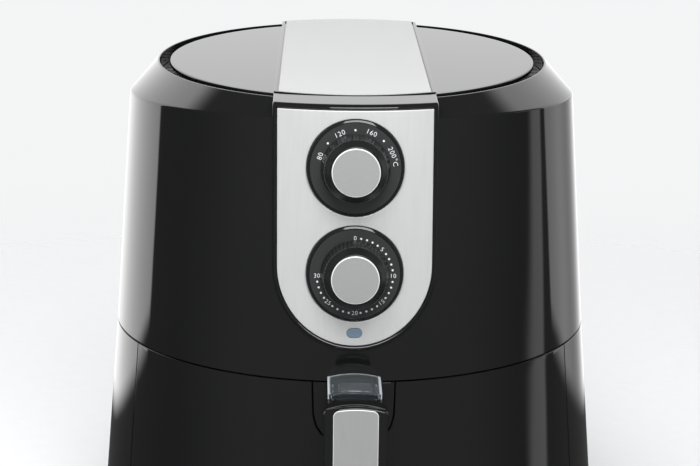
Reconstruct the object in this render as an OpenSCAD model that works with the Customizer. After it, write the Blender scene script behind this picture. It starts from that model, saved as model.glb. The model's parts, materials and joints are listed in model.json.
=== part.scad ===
// Round hot-air fryer with a front drawer, in millimetres: front towards -Y, up is +Z.
// Every piece is drawn about the body's own upright axis and then moved back by axis_y, so that
// the origin lies on the table under the middle of the whole object, handle included.

/* [Body] */
// Radius of the body at the seam between its two shells
seam_r = 148; // [140:1:178]
// Height of the seam above the table
seam_z = 150; // [146:1:180]
// Height of the upper shell's side wall above the seam
upper_h = 144.7; // [132:1:175]
// Inward lean of the upper wall, in degrees
upper_lean = 4.03; // [3:0.1:5]
// Outward lean of the lower wall, in degrees
lower_lean = 4.8; // [3:0.1:5.5]
// Wall thickness of both shells
wall = 2.5; // [2:0.1:3]
// Gap at the seam between the shells
seam_gap = 0.8; // [0.4:0.1:1.2]
// Height of the lower shell's rim above the table
shell_bottom = 8; // [7:0.5:10]

/* [Top] */
// Width of the sloping shoulder, seen from above
shoulder_w = 18.4; // [15:0.2:22]
// Mean height of the shoulder
shoulder_h = 19.6; // [19:0.2:22]
// Backward tilt of the shoulder's lower edge, in degrees
edge_tilt = 2.55; // [2:0.05:3]
// Forward tilt of the flat top, in degrees
top_tilt = 2.62; // [2:0.05:3]
// Width of the air gap round the top cover
air_gap = 6.4; // [5:0.2:8]
// Depth of the recess that the top cover sits in
recess_d = 10.5; // [9:0.5:12]
// Thickness of the top cover
cover_t = 3; // [2:0.5:4]

/* [Spine and plates] */
// Half width of the control plate, and the radius of its round bottom
plate_half_w = 44.2; // [42:0.2:46]
// Height of the control plate from its round bottom to its top edge
plate_h = 134.3; // [130:0.5:140]
// Height of the control plate's top edge above the shoulder's mean edge
plate_rise = 11.3; // [10:0.1:12]
// Thickness of both metal plates
plate_t = 1; // [0.8:0.1:1.2]
// Width of the black border round both plates
bezel_w = 2.8; // [1.4:0.1:3.5]
// Half width of the top plate at its front
top_plate_half_w = 44; // [42:0.2:46]
// Half width of the top plate at its back
top_plate_back_half_w = 42; // [41:0.2:46]

/* [Dials] */
// Drop from the plate's top edge to the temperature dial
temperature_drop = 32.3; // [31:0.5:34]
// Drop from the plate's top edge to the timer dial
timer_drop = 92.65; // [90:0.5:94]
// Drop from the plate's top edge to the indicator lens
lens_drop = 127; // [125:0.5:128]
// Outer radius of a dial ring
ring_r = 27.7; // [25:0.1:29]
// Thickness of a dial ring
ring_t = 2.4; // [2:0.1:3]
// Width of a dial ring's sloping rim
rim_slope_w = 2; // [1:0.1:2.5]
// Radius of a knob at its foot
knob_r = 19.6; // [17:0.1:21]
// Radius of a knob's shoulder, where its fluted side turns to the front
knob_shoulder_r = 17.8; // [17:0.1:18.5]
// Radius of a knob at its front
knob_front_r = 14.4; // [14.2:0.1:16.5]
// Number of flutes round a knob
flutes = 48; // [24:1:60]
// Length of a knob in front of its ring
knob_l = 17.8; // [15:0.2:20]
// Radius of a knob's metal cap
cap_r = 13.6; // [12:0.1:14]
// Radius of a control shaft
control_shaft_r = 3; // [2.5:0.1:3.6]
// Depth of the timer and thermostat bodies
control_depth = 26; // [20:1:28]

/* [Drawer] */
// Half of the angle that the drawer front spans, in degrees
drawer_half_angle = 61.5; // [58:0.5:63]
// Height of the drawer front's lower edge above the table
drawer_bottom = 24; // [22:1:28]
// Gap at the sides and foot of the drawer front
drawer_gap = 0.6; // [0.5:0.1:1]
// Thickness of the drawer front
front_t = 3; // [2.5:0.1:3.5]
// Gap between the body wall and the drawer housing
housing_gap = 22.5; // [20:0.5:26]
// Gap between the pan's rim and the drawer housing
pan_gap = 5; // [4:0.5:8]
// Sheet thickness of pan and basket
pan_t = 1.2; // [1:0.1:1.5]
// Gap between the basket and the pan at the floor
basket_lift = 14; // [10:1:20]

/* [Handle] */
// Reach of the handle in front of the seam
handle_reach = 65.5; // [60:0.5:75]
// Half width of the handle's grip
grip_half_w = 17.5; // [16:0.1:18]
// Drop of the grip below the seam
grip_drop = 85; // [75:1:95]
// Half width of the metal plate on the grip
grip_plate_half_w = 12.4; // [10:0.1:13]
// Half width of the clear button guard
guard_half_w = 15.2; // [14.8:0.1:15.4]

/* [Air and heat] */
// Outer radius of the heating chamber dish
chamber_r = 98; // [92:1:98]
// Height of the heating chamber above the seam
chamber_h = 37; // [34:1:40]
// Tube radius of the heating element
element_tube_r = 3.3; // [3:0.1:4]
// Radius of the hot-air fan
hot_fan_r = 66; // [58:1:70]
// Radius of the cooling fan
cooling_fan_r = 56; // [50:1:62]
// Radius of the motor shaft
motor_shaft_r = 3; // [2.5:0.1:4]
// Radius of the motor's rotor
rotor_r = 15; // [12:0.5:15]

/* [Base and fits] */
// Radius of a rubber foot
foot_r = 11; // [8:0.5:13]
// Height of a rubber foot
foot_h = 6; // [5:0.5:6.5]
// Radius of the bore in the cord gland
gland_bore_r = 3.6; // [3:0.1:4.5]
// Running clearance of every shaft in its bush
running_gap = 0.05; // [0.02:0.01:0.08]
// Small clearance between fixed pieces
seat_gap = 0.1; // [0.05:0.05:0.2]
// Clearance round pieces that pass through sheet
pass_gap = 2; // [1:0.5:3]

/* [Hidden] */

$fn = 72;
far = 400;                      // longer than any cut needs
sheet = 1;                      // ordinary sheet steel
black = "#1d1d1c";
steel = "#b9babb";
galvanised = "#8f9598";

// Heights and radii that follow from the body
shoulder_z = seam_z + upper_h;
edge_r = seam_r - upper_h * tan(upper_lean);
rim_r = edge_r - shoulder_w;
rim_z = shoulder_z + shoulder_h;
lip_w = 1;                      // flat lip at the rim's inner edge
upper_bottom = seam_z + seam_gap / 2;
lower_top = seam_z - seam_gap / 2;
round_z = shell_bottom + 16;    // where the lower wall starts to curve in
round_w = 9.6;
base_r = wall_r(round_z);
plate_top = shoulder_z + plate_rise;
temperature_z = plate_top - temperature_drop;
timer_z = plate_top - timer_drop;
lens_z = plate_top - lens_drop;
dial_pitch = (timer_drop - temperature_drop) / cos(upper_lean);

// Drawer housing, pan and basket, from the outside in
housing_r = seam_r - wall - housing_gap;
housing_floor = shell_bottom + 12;
ceiling_z = seam_z - 2;         // underside of the housing's ceiling
// How far forward the housing's square front reaches: its corners stop behind the drawer front
housing_front = sqrt(pow(wall_r(ceiling_z) - front_t - seat_gap, 2) - pow(housing_r, 2));
pan_rim_r = housing_r - pan_gap - sheet;
pan_floor = housing_floor + 7;
pan_rim_z = ceiling_z - 4.8;    // top of the pan's rim
pan_r = pan_rim_r - 5;
pan_floor_r = pan_r - 8;
basket_r = pan_r - 6;
basket_floor_r = pan_floor_r - 4;
basket_floor = pan_floor + basket_lift;
runner_half = 60;
panel_r = seam_r - 17.5;        // outer radius of the drawer's inner panel
panel_t = 2.5;

// Heating chamber and motor, from the seam up
ceiling_top = ceiling_z + sheet;
dish_top = ceiling_top + chamber_h + 1;
insulation_t = 8;
insulation_z = dish_top + 0.2;
motor_plate_z = insulation_z + insulation_t + 0.2;
motor_plate_t = 1.2;
stand_top = motor_plate_z + 26.6;
boss_r = seam_r - 14;           // radius of the circle of case bosses
boss_angles = [80, 145, 215, 280];
element_z = ceiling_top + 12;
element_ring_rs = [60, 78];
guard_z = ceiling_top + 4;
shaft_low = ceiling_top + 14;
motor_z = stand_top + sheet + 0.2;
shaft_high = motor_z + 39;

// Control mechanisms, measured inwards from the wall's face
bracket_in = 12;
bracket_t = 1.2;
shaft_hole_r = control_shaft_r + 4;

// Handle, in the plane that halves the body from front to back
grip_front = -(seam_r + handle_reach) + 0.2;
track_z = seam_z + 0.5;         // top of the neck, where the guard slides
cap_rear = -(seam_r + 49.5);    // rear edge of the raised cap
guard_front = -(seam_r + 33);
guard_rear_r = seam_r + 1.2;
guard_top = seam_z + 5.8;
cap_top = seam_z + 7.4;
grip_bottom = seam_z - grip_drop;
grip_lean = 5;
button_y = -(seam_r + 18);      // middle of the release button
latch_pivot = [-(seam_r - 7), seam_z - 10.5];
latch_pin_r = 1.2;

// Overall reach, which centres the object on its origin
gland_z = 52;
gland_flange_t = 2.8;
front_reach = seam_r + handle_reach;
rear_reach = max(base_r, wall_r(gland_z) + gland_flange_t);
axis_y = (front_reach - rear_reach) / 2;

// Radius of the body's outside at a height
function wall_r(z) = z > seam_z
    ? seam_r - (z - seam_z) * tan(upper_lean)
    : seam_r + (seam_z - z) * tan(lower_lean);

// One tilted ring of points round the body's axis
function tilted_ring(r, z, tilt, n = 96) = [for (i = [0:n - 1])
    let (a = i * 360 / n) [r * sin(a), r * cos(a) * cos(tilt), z + r * cos(a) * sin(tilt)]];

// The shoulder's lower edge: where the wall's cone meets a plane that tilts to the back
function edge_ring(inset, drop, n = 96) = [for (i = [0:n - 1])
    let (a = i * 360 / n, r = edge_r / (1 - cos(a) * tan(edge_tilt) * tan(upper_lean)) - inset)
        [r * sin(a), r * cos(a), shoulder_z - drop - r * cos(a) * tan(edge_tilt)]];

module placed() translate([0, axis_y, 0]) children();

// A frame on the front wall: its Z points straight out of the wall, its Y up along it
module on_wall(z) translate([0, -wall_r(z), z]) rotate([90 - upper_lean, 0, 0]) children();

// A frame on the flat top: its origin at the middle of the rim's plane
module on_top() translate([0, 0, rim_z]) rotate([top_tilt, 0, 0]) children();

// A solid of revolution between two heights that follows the upper wall, grown by a margin
module wall_cone(z0, z1, grow) translate([0, 0, z0])
    cylinder(h = z1 - z0, r1 = wall_r(z0) + grow, r2 = wall_r(z1) + grow, $fn = 240);

module tube(h, outer, inner) difference() {
    cylinder(h = h, r = outer);
    translate([0, 0, -1]) cylinder(h = h + 2, r = inner);
}

// Extrudes an outline of [y, z] points along X, centred
module across(points, w) rotate([90, 0, 90]) linear_extrude(w, center = true) polygon(points);

// Extrudes an outline of [x, z] points towards the front
module forwards(points) rotate([90, 0, 0]) linear_extrude(far) polygon(points);

// A wedge that opens to the front, between two heights
module front_wedge(half_angle, z0, z1) translate([0, 0, z0]) linear_extrude(z1 - z0)
    polygon([[0, 0], [-far * sin(half_angle), -far * cos(half_angle)],
        [far * sin(half_angle), -far * cos(half_angle)]]);

// A pan-head screw that points up from its head's foot
module screw(l, r = 1.75, head_r = 3.4, head_h = 2) {
    cylinder(h = head_h, r = head_r, $fn = 32);
    translate([0, 0, head_h]) cylinder(h = l, r = r, $fn = 32);
}

// Round stack of rings joined by flat facets
module loft(rings) {
    n = len(rings[0]);
    last = (len(rings) - 1) * n;
    polyhedron(
        points = [for (g = rings) each g],
        faces = concat([[for (j = [n - 1:-1:0]) j]], [[for (j = [0:n - 1]) last + j]],
            [for (i = [0:len(rings) - 2], j = [0:n - 1])
                [i * n + j, i * n + (j + 1) % n, (i + 1) * n + (j + 1) % n]],
            [for (i = [0:len(rings) - 2], j = [0:n - 1])
                [i * n + j, (i + 1) * n + (j + 1) % n, (i + 1) * n + j]]));
}

// Outline of the control plate, grown by a margin: straight sides over a half-round foot
module plate_outline(grow, top) {
    half = plate_half_w + grow;
    foot_z = plate_top - plate_h + plate_half_w;
    forwards(concat(
        [for (a = [-180:7.5:0]) [half * cos(a), foot_z + half * sin(a)]],
        [[half, top], [-half, top]]));
}

// Outline of the top plate, seen from above, grown by a margin
module top_plate_outline(grow) intersection() {
    linear_extrude(far, center = true) polygon([
        [-top_plate_half_w - grow, -rim_r], [top_plate_half_w + grow, -rim_r],
        [top_plate_back_half_w + grow, rim_r + 20], [-top_plate_back_half_w - grow, rim_r + 20]]);
    union() {
        cylinder(h = far, r = rim_r - 5.9 + grow, center = true);
        intersection() {
            cylinder(h = far, r = rim_r + 2.1 + grow, center = true);
            translate([-far, 0, -far]) cube(2 * far);
        }
    }
}

module upper_cavity() loft([
    tilted_ring(wall_r(upper_bottom - 2) - wall, upper_bottom - 2, 0),
    edge_ring(wall, 0.9),
    tilted_ring(rim_r - 1.9, rim_z - 4, top_tilt)]);

// Columns inside the upper shell that take the case screws and the motor plate
module upper_bosses() for (a = boss_angles) rotate(a - 180) {
    translate([0, boss_r, ceiling_top]) cylinder(h = motor_plate_z - ceiling_top, r = 5);
    intersection() {
        translate([-1.5, boss_r, ceiling_top + 1.6]) cube([3, 20, motor_plate_z - ceiling_top - 1.6]);
        wall_cone(upper_bottom, motor_plate_z, -wall / 2);
    }
}

// Posts behind the front wall that carry the control bracket
module bracket_posts() on_wall(temperature_z) for (x = [-26, 26], y = [18, -dial_pitch - 19.5])
    translate([x, y, -bracket_in]) cylinder(h = bracket_in - 4, r = 4);

module upper_shell() color(black) placed() difference() {
    union() {
        difference() {
            loft([tilted_ring(wall_r(upper_bottom), upper_bottom, 0),
                edge_ring(0, 0),
                tilted_ring(rim_r + lip_w, rim_z, top_tilt)]);
            upper_cavity();
            on_top() translate([0, 0, -recess_d]) cylinder(h = far, r = rim_r);
        }
        on_top() translate([0, 0, -recess_d - wall]) difference() {
            tube(recess_d + wall - 2.5, rim_r + 1.8, chamber_r);
            translate([0, 0, wall]) cylinder(h = far, r = rim_r);
            for (i = [0:17]) rotate(i * 20 + 10)
                translate([0, (rim_r + chamber_r) / 2, -1]) cylinder(h = far, r = 6, $fn = 32);
        }
        upper_bosses();
        bracket_posts();
    }
    for (z = [temperature_z, timer_z]) on_wall(z)
        translate([0, 0, -8]) cylinder(h = 16, r = shaft_hole_r);
    on_wall(lens_z) translate([0, 0, -8]) oblong(4.5, 2.95, 16);
    on_wall(temperature_z) for (x = [-26, 26], y = [18, -dial_pitch - 19.5])
        translate([x, y, -bracket_in - 1]) cylinder(h = 7, r = 1.5, $fn = 32);
    for (a = boss_angles) rotate(a - 180) translate([0, boss_r, 0]) {
        translate([0, 0, ceiling_top - 1]) cylinder(h = 16, r = 1.85, $fn = 32);
        translate([0, 0, motor_plate_z - 12]) cylinder(h = 13, r = 1.6, $fn = 32);
    }
    // windows behind the rear cover and the exhaust grille
    translate([-30, 0, rear_cover_low + 8]) cube([60, far, rear_louvre_top - rear_cover_low - 4]);
    translate([-20, 0, exhaust_low]) cube([40, far, exhaust_h]);
}

// Inside or outside profile of the lower shell, from the foot up
function lower_profile(inset) = concat(
    [for (t = [90:-15:0])
        [base_r - round_w + (round_w - inset) * cos(t), round_z - (round_z - shell_bottom - inset) * sin(t)]],
    [[wall_r(lower_top) - inset, lower_top]]);

// Everything inside the lower shell's wall
module lower_inside(inset) rotate_extrude() polygon(concat(
    [[0, shell_bottom + inset]], lower_profile(inset), [[0, lower_top]]));

module lower_shell() color(black) placed() difference() {
    union() {
        rotate_extrude() polygon(concat(lower_profile(0),
            [for (i = [len(lower_profile(wall)) - 1:-1:0]) lower_profile(wall)[i]],
            [[base_r - 23, shell_bottom + wall], [base_r - 23, shell_bottom]]));
        // jambs beside the drawer, from the wall to the housing
        intersection() {
            lower_inside(wall / 2);
            for (s = [-1, 1]) translate([s > 0 ? housing_r + 1.3 : -housing_r - 21.3,
                -seam_r * 0.446, drawer_bottom]) cube([20, 14, ceiling_z - drawer_bottom]);
        }
        // columns for the case screws, and short ones for the base screws
        for (a = boss_angles) rotate(a - 180) {
            translate([0, boss_r, ceiling_z - 45]) cylinder(h = 45, r = 5);
            intersection() {
                translate([-1.5, boss_r, ceiling_z - 45]) cube([3, 30, 45]);
                lower_inside(wall / 2);
            }
        }
        base_screw_places() translate([0, 0, shell_bottom + 1]) cylinder(h = 9, r = 4);
    }
    front_wedge(drawer_half_angle, drawer_bottom - drawer_gap, far);
    for (a = boss_angles) rotate(a - 180) translate([0, boss_r, ceiling_z - 46])
        cylinder(h = 50, r = 1.95, $fn = 32);
    base_screw_places() translate([0, 0, -1]) cylinder(h = 16, r = 1.8, $fn = 32);
    translate([0, 0, gland_z]) rotate([-90, 0, 0]) cylinder(h = far, r = gland_body_r + seat_gap);
}

module base_screw_places() for (a = [30:60:330]) rotate(a) translate([base_r - 16, 0, 0]) children();

module foot_places() for (a = [45:90:315]) rotate(a) translate([base_r - 34, 0, 0]) children();

base_plate_t = shell_bottom - foot_h;
foot_stem_r = 3.9;

module base_plate() color(galvanised) placed() difference() {
    translate([0, 0, foot_h]) cylinder(h = base_plate_t, r = base_r - 12);
    foot_places() translate([0, 0, 1]) cylinder(h = 20, r = foot_stem_r + seat_gap);
    base_screw_places() translate([0, 0, 1]) cylinder(h = 20, r = 2.1, $fn = 32);
    for (x = [-60:20:60], y = [-50:50:50]) translate([x - 2, y - 18, 1]) cube([4, 36, 20]);
}

module feet() color("#2a2a2a") placed() foot_places() {
    cylinder(h = foot_h, r1 = foot_r - 1, r2 = foot_r);
    cylinder(h = shell_bottom, r = foot_stem_r);
    translate([0, 0, shell_bottom]) cylinder(h = 1.5, r = foot_stem_r + 0.9);
}

module base_screws() color(steel) placed() base_screw_places()
    translate([0, 0, foot_h - 2]) screw(8.5, 1.7);

module case_screws() color(steel) placed() {
    for (a = boss_angles) rotate(a - 180) translate([0, boss_r, ceiling_z - 47]) screw(56, 1.75, 3.4, 2);
    for (a = boss_angles) rotate(a - 180)
        translate([0, boss_r, motor_plate_z + motor_plate_t + 2]) mirror([0, 0, 1]) screw(10, 1.5, 3, 2);
}

module top_cover() color("#26272a") placed() on_top() {
    translate([0, 0, -cover_t]) cylinder(h = cover_t, r = rim_r - air_gap);
    translate([0, 0, -recess_d]) tube(recess_d - cover_t, rim_r - air_gap - 5, rim_r - air_gap - 7.5);
}

module air_inlet_grille() color("#151515") placed() on_top() difference() {
    translate([0, 0, -recess_d]) tube(1.4, rim_r - 0.4, rim_r - air_gap - 4.6);
    for (i = [0:71]) rotate(i * 5) translate([-0.9, rim_r - air_gap - 3, -far / 2])
        cube([1.8, air_gap + 1, far]);
}

// The black strap: over the flat top, round the front corner and down round the control plate
corner_r = 5;

function corner_arc() = let (
    top_z = rim_z - edge_r * tan(top_tilt) + 1.5,
    mid = [wall_r(top_z - corner_r) + 1.5 - corner_r, top_z - corner_r])
    [for (a = [0:15:90]) mid + corner_r * [cos(a), sin(a)]];

module spine_bezel() color(black) placed() {
    foot = plate_top - plate_h - 4;
    front_slope = tan(top_tilt);
    rim_front = rim_z - rim_r * front_slope;
    edge_front = shoulder_z + edge_r * sin(edge_tilt);
    difference() {
        intersection() {
            rotate_extrude() polygon(concat(
                [[wall_r(foot) + seat_gap, foot], [wall_r(foot) + 1.5, foot]],
                corner_arc(),
                [[rim_r - 10, rim_z - (rim_r - 10) * front_slope + 1.5],
                    [rim_r - 10, rim_z - (rim_r - 10) * front_slope + 0.8],
                    [rim_r + lip_w, rim_front + 0.8], [edge_r + 0.3, edge_front + 0.3],
                    [edge_r + 0.3, edge_front - 3]]));
            plate_outline(bezel_w, rim_z);
        }
        intersection() {
            wall_ring(foot - 1, plate_top + 0.3, 0.02, 9);
            plate_outline(0.2, plate_top + 0.3);
        }
        on_top() top_plate_pocket();
    }
    on_top() difference() {
        intersection() {
            translate([0, 0, 0.1]) top_strap(rim_r - 10.4);
            translate([0, 0, -1]) cylinder(h = 2.5, r = rim_r + 2.4);
        }
        top_plate_pocket();
    }
}

module wall_ring(z0, z1, inner, outer) difference() {
    wall_cone(z0, z1, outer);
    wall_cone(z0 - 1, z1 + 1, inner);
}

// How far forward the strap's sides meet a round of the given radius
function strap_corner(r) = -sqrt(r * r - pow(top_plate_half_w + bezel_w, 2));

// The strap over the top as a slab with slightly tapered sides, from a front radius to the back
module top_strap(front) let (
    front_half = top_plate_half_w + bezel_w,
    back_half = top_plate_back_half_w + bezel_w,
    corner = strap_corner(front) - 2)
    linear_extrude(far) polygon([
        [-front_half, corner], [front_half, corner], [back_half, rim_r + 3], [-back_half, rim_r + 3]]);

module top_plate_pocket() translate([0, 0, far / 2 + 0.6]) top_plate_outline(0.2);

module top_plate() color("#e2e2e2") placed() on_top() intersection() {
    translate([0, 0, 0.65]) cylinder(h = plate_t + 0.2, r = far);
    top_plate_outline(0);
}

module control_plate() color("#d4d4d4") placed() difference() {
    intersection() {
        wall_ring(plate_top - plate_h - 1, plate_top, seat_gap, plate_t + seat_gap);
        plate_outline(0, plate_top);
    }
    for (z = [temperature_z, timer_z]) on_wall(z)
        translate([0, 0, -20]) cylinder(h = 40, r = ring_r + 0.15);
    on_wall(lens_z) translate([0, 0, -8]) oblong(4.3, 2.75 + seat_gap, 16);
}

// The cover over the rear shoulder and down the back wall, with louvres for the motor's air
rear_cover_low = motor_plate_z + 10;
rear_louvre_top = shoulder_z - 16;

// Height of the shoulder's back at a radius
function back_shoulder(r) = let (
    high = rim_z + rim_r * sin(top_tilt),
    low = shoulder_z - edge_r * sin(edge_tilt))
    high - (r - rim_r - lip_w) * (high - low) / (edge_r - rim_r - lip_w);

module rear_cover() color(black) placed() difference() {
    intersection() {
        rotate_extrude() polygon([
            [rim_r + 2.6, back_shoulder(rim_r + 2.6) + 0.5],
            [rim_r + 2.6, back_shoulder(rim_r + 2.6) + 2.6],
            [edge_r + 2, back_shoulder(edge_r) + 1.5],
            [wall_r(rear_cover_low) + 1.8, rear_cover_low],
            [wall_r(rear_cover_low) + 0.2, rear_cover_low],
            [edge_r + 0.5, back_shoulder(edge_r) + 0.5]]);
        translate([-43, 0, 0]) cube([86, far, far]);
    }
    for (z = [rear_cover_low + 14:8:rear_louvre_top]) translate([-27, 0, z]) cube([54, far, 3.5]);
}

exhaust_low = ceiling_top + 9;
exhaust_h = 22;

module exhaust_grille() color(black) placed() difference() {
    intersection() {
        wall_ring(exhaust_low - 4, exhaust_low + exhaust_h + 4, seat_gap, 1.6);
        translate([-28, 0, 0]) cube([56, far, far]);
    }
    for (x = [-20:5:20]) translate([x - 1.5, 0, exhaust_low]) cube([3, far, exhaust_h]);
}

module exhaust_duct() color(galvanised) placed() difference() {
    intersection() {
        translate([-21.2, 0, exhaust_low - 1.2]) cube([42.4, far, exhaust_h + 2.4]);
        wall_cone(upper_bottom - 9, rim_z, -wall - 0.4);
    }
    cylinder(h = far, r = chamber_r + seat_gap);
    translate([-20, 0, exhaust_low]) cube([40, far, exhaust_h]);
}

// Controls

module oblong(half, r, h) {
    for (x = [-half + r, half - r]) translate([x, 0, 0]) cylinder(h = h, r = r, $fn = 32);
    translate([-half + r, -r, 0]) cube([2 * (half - r), 2 * r, h]);
}

rim_fall = ring_t - 0.75;       // how far the rim slopes back
// A dial ring lies flat, with its face a little sunk, and is cut at the back to the curve of the wall
module dial_ring(z) difference() {
    on_wall(z) translate([0, 0, -5]) difference() {
        union() {
            cylinder(h = 5 + ring_t - rim_fall, r = ring_r);
            translate([0, 0, 5 + ring_t - rim_fall])
                cylinder(h = rim_fall, r1 = ring_r, r2 = ring_r - rim_slope_w);
        }
        translate([0, 0, 5 + ring_t - 0.25]) cylinder(h = 9, r = ring_r - rim_slope_w - 0.4);
        translate([0, 0, -1]) cylinder(h = 20, r = shaft_hole_r);
    }
    wall_cone(z - 40, z + 40, 0.02);
}

module temperature_dial() color("#232323") placed() dial_ring(temperature_z);
module timer_dial() color("#232323") placed() dial_ring(timer_z);

module indicator_lens() color("#8fa3b5") placed() on_wall(lens_z)
    translate([0, 0, -2.6]) oblong(4.3, 2.75, 4.4);

module indicator_lamp() color("#d8cfc0") placed() on_wall(lens_z) {
    translate([0, 0, -8]) cylinder(h = 5.2, r = 2.4, $fn = 32);
    translate([0, 0, -20]) cylinder(h = 12, r = 4.2, $fn = 32);
}

knob_foot = ring_t + 0.4;
knob_side = knob_l - 5.6;       // height of a knob's fluted side

module knob() difference() {
    union() {
        translate([0, 0, knob_foot]) cylinder(h = knob_side, r1 = knob_r, r2 = knob_shoulder_r);
        translate([0, 0, knob_foot + knob_side])
            cylinder(h = knob_l - 1 - knob_side, r1 = knob_shoulder_r, r2 = knob_front_r);
    }
    translate([0, 0, knob_foot + knob_l - 2.4]) cylinder(h = 9, r = cap_r + seat_gap);
    translate([0, 0, knob_foot - 1]) cylinder(h = 6, r = 12);
    cylinder(h = 14.6, r = control_shaft_r + 0.02);
    for (i = [0:flutes - 1]) rotate(i * 360 / flutes) translate([knob_r + 0.3, 0, knob_foot - 1])
        rotate([0, -atan((knob_r - knob_shoulder_r) / knob_side), 0])
            cylinder(h = knob_side + 2, r = 0.7, $fn = 16);
}

module knob_cap() translate([0, 0, knob_foot + knob_l - 2.35]) {
    cylinder(h = 1.6, r = cap_r);
    translate([0, 0, 1.6]) cylinder(h = 0.7, r1 = cap_r, r2 = cap_r - 0.7);
}

module control_shaft() translate([0, 0, -bracket_in - control_depth + 4])
    cylinder(h = bracket_in + control_depth + 10.4, r = control_shaft_r);

module temperature_knob() color("#171717") placed() on_wall(temperature_z) knob();
module temperature_cap() color("#b6b6b6") placed() on_wall(temperature_z) knob_cap();
module thermostat_shaft() color(steel) placed() on_wall(temperature_z) control_shaft();
module timer_knob() color("#171717") placed() on_wall(timer_z) knob();
module timer_cap() color("#b6b6b6") placed() on_wall(timer_z) knob_cap();
module timer_shaft() color(steel) placed() on_wall(timer_z) control_shaft();

module control_bracket() color(galvanised) placed() on_wall(temperature_z) {
    difference() {
        translate([-31, -dial_pitch - 24, -bracket_in - bracket_t])
            cube([62, dial_pitch + 47, bracket_t - 0.05]);
        for (y = [0, -dial_pitch]) translate([0, y, -bracket_in - 3]) cylinder(h = 6, r = 5.2);
        for (x = [-26, 26], y = [18, -dial_pitch - 19.5])
            translate([x, y, -bracket_in - 3]) cylinder(h = 6, r = 1.6, $fn = 32);
    }
    for (x = [-26, 26], y = [18, -dial_pitch - 19.5])
        translate([x, y, -bracket_in - bracket_t - 1.8]) screw(6, 1.45, 2.8, 1.75);
}

// Body of a control mechanism with the bush that its shaft turns in
module control_body(w) difference() {
    union() {
        translate([-w / 2, -w / 2, -bracket_in - control_depth])
            cube([w, w, control_depth - bracket_t - 0.1]);
        translate([0, 0, -bracket_in - 4]) cylinder(h = bracket_in, r = 5);
    }
    translate([0, 0, -bracket_in - control_depth + 3]) cylinder(h = far, r = control_shaft_r + running_gap);
}

module thermostat() color("#e8e2d4") placed() on_wall(temperature_z) control_body(34);
module timer() color("#d9dadb") placed() on_wall(timer_z) control_body(38);

module timer_bell() color("#c9a24b") placed() on_wall(timer_z)
    translate([0, 0, -bracket_in - control_depth]) {
        translate([0, 0, -11]) cylinder(h = 10.95, r = 2);
        translate([0, 0, -12]) difference() {
            cylinder(h = 8, r1 = 12, r2 = 15);
            translate([0, 0, 1]) cylinder(h = 8, r1 = 11, r2 = 14.2);
        }
    }

// Sensing bulb in the hot air, with its copper capillary leading up towards the thermostat
bulb_r = chamber_r - 7.5;

module thermostat_bulb() color("#b87333") placed() rotate(-45) translate([0, -bulb_r, 0]) {
    translate([0, 0, element_z + 6]) cylinder(h = 14, r = 2.6, $fn = 32);
    translate([0, 0, element_z + 20]) cylinder(h = motor_plate_z - element_z + 20, r = 1, $fn = 24);
}

// Drawer housing and heating chamber

module housing_plan(r, h) {
    cylinder(h = h, r = r);
    translate([-r, -housing_front, 0]) cube([2 * r, housing_front, h]);
}

module drawer_housing() color(galvanised) placed() difference() {
    union() {
        translate([0, 0, housing_floor]) housing_plan(housing_r, ceiling_z - housing_floor);
        intersection() {
            translate([0, 0, ceiling_z]) cylinder(h = sheet, r = boss_r + 5);
            union() {
                translate([-far, -seam_r * 0.5, 0]) cube(2 * far);
                cylinder(h = far, r = panel_r);
            }
        }
    }
    translate([0, 0, housing_floor + sheet]) intersection() {
        housing_plan(housing_r - sheet, ceiling_z - housing_floor - sheet);
        translate([-far, -far, 0]) cube(2 * far);
    }
    translate([-housing_r + sheet, -seam_r, housing_floor + sheet])
        cube([2 * (housing_r - sheet), seam_r / 2, ceiling_z - housing_floor - sheet]);
    cylinder(h = far, r = chamber_r - sheet);
    for (a = boss_angles) rotate(a - 180) translate([0, boss_r, ceiling_z - 1])
        cylinder(h = 4, r = 2.1, $fn = 32);
}

module drawer_runners() color(steel) placed() for (s = [-1, 1])
    translate([s * runner_half - 4, -seam_r * 0.45, housing_floor + sheet])
        cube([8, seam_r * 1.05, pan_floor - housing_floor - sheet - 0.4]);

module heating_chamber() color(steel) placed() difference() {
    rotate_extrude() polygon([
        [chamber_r - sheet, ceiling_top], [chamber_r + 12, ceiling_top],
        [chamber_r + 12, ceiling_top + sheet], [chamber_r, ceiling_top + sheet],
        [chamber_r, dish_top - 4], [chamber_r - 4, dish_top], [0, dish_top],
        [0, dish_top - sheet], [chamber_r - 4.4, dish_top - sheet], [chamber_r - sheet, dish_top - 4.4]]);
    cylinder(h = far, r = motor_shaft_r + pass_gap);
    translate([-20, 0, exhaust_low]) cube([40, far, exhaust_h]);
    rotate(-45) translate([0, -bulb_r, 0]) cylinder(h = far, r = 1 + pass_gap / 2, $fn = 32);
    element_ends() cylinder(h = far, r = element_tube_r + 1.6, $fn = 32);
}

module element_ends() for (x = [-11, 11])
    translate([x, sqrt(pow(element_ring_rs[1], 2) - x * x), 0]) children();

module heating_element() color("#5b5350") placed() {
    for (r = element_ring_rs) translate([0, 0, element_z]) rotate([0, 0, 98])
        rotate_extrude(angle = 344) translate([r, 0]) circle(r = element_tube_r, $fn = 24);
    element_ends() {
        translate([0, 0, element_z]) cylinder(h = dish_top + insulation_t + 8 - element_z,
            r = element_tube_r, $fn = 24);
        translate([0, 0, dish_top - sheet - 0.5])
            tube(insulation_t + 3, element_tube_r + 1.5, element_tube_r + 0.02);
    }
    for (a = [0, 120, 240]) rotate(a + 60) {
        translate([-4, element_ring_rs[0] - 4, element_z + 2]) cube([8, 26, 1.6]);
        translate([-4, element_ring_rs[1] + 3.6, element_z + 2]) cube([8, 1.4, dish_top - element_z - 3.2]);
    }
}

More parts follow.
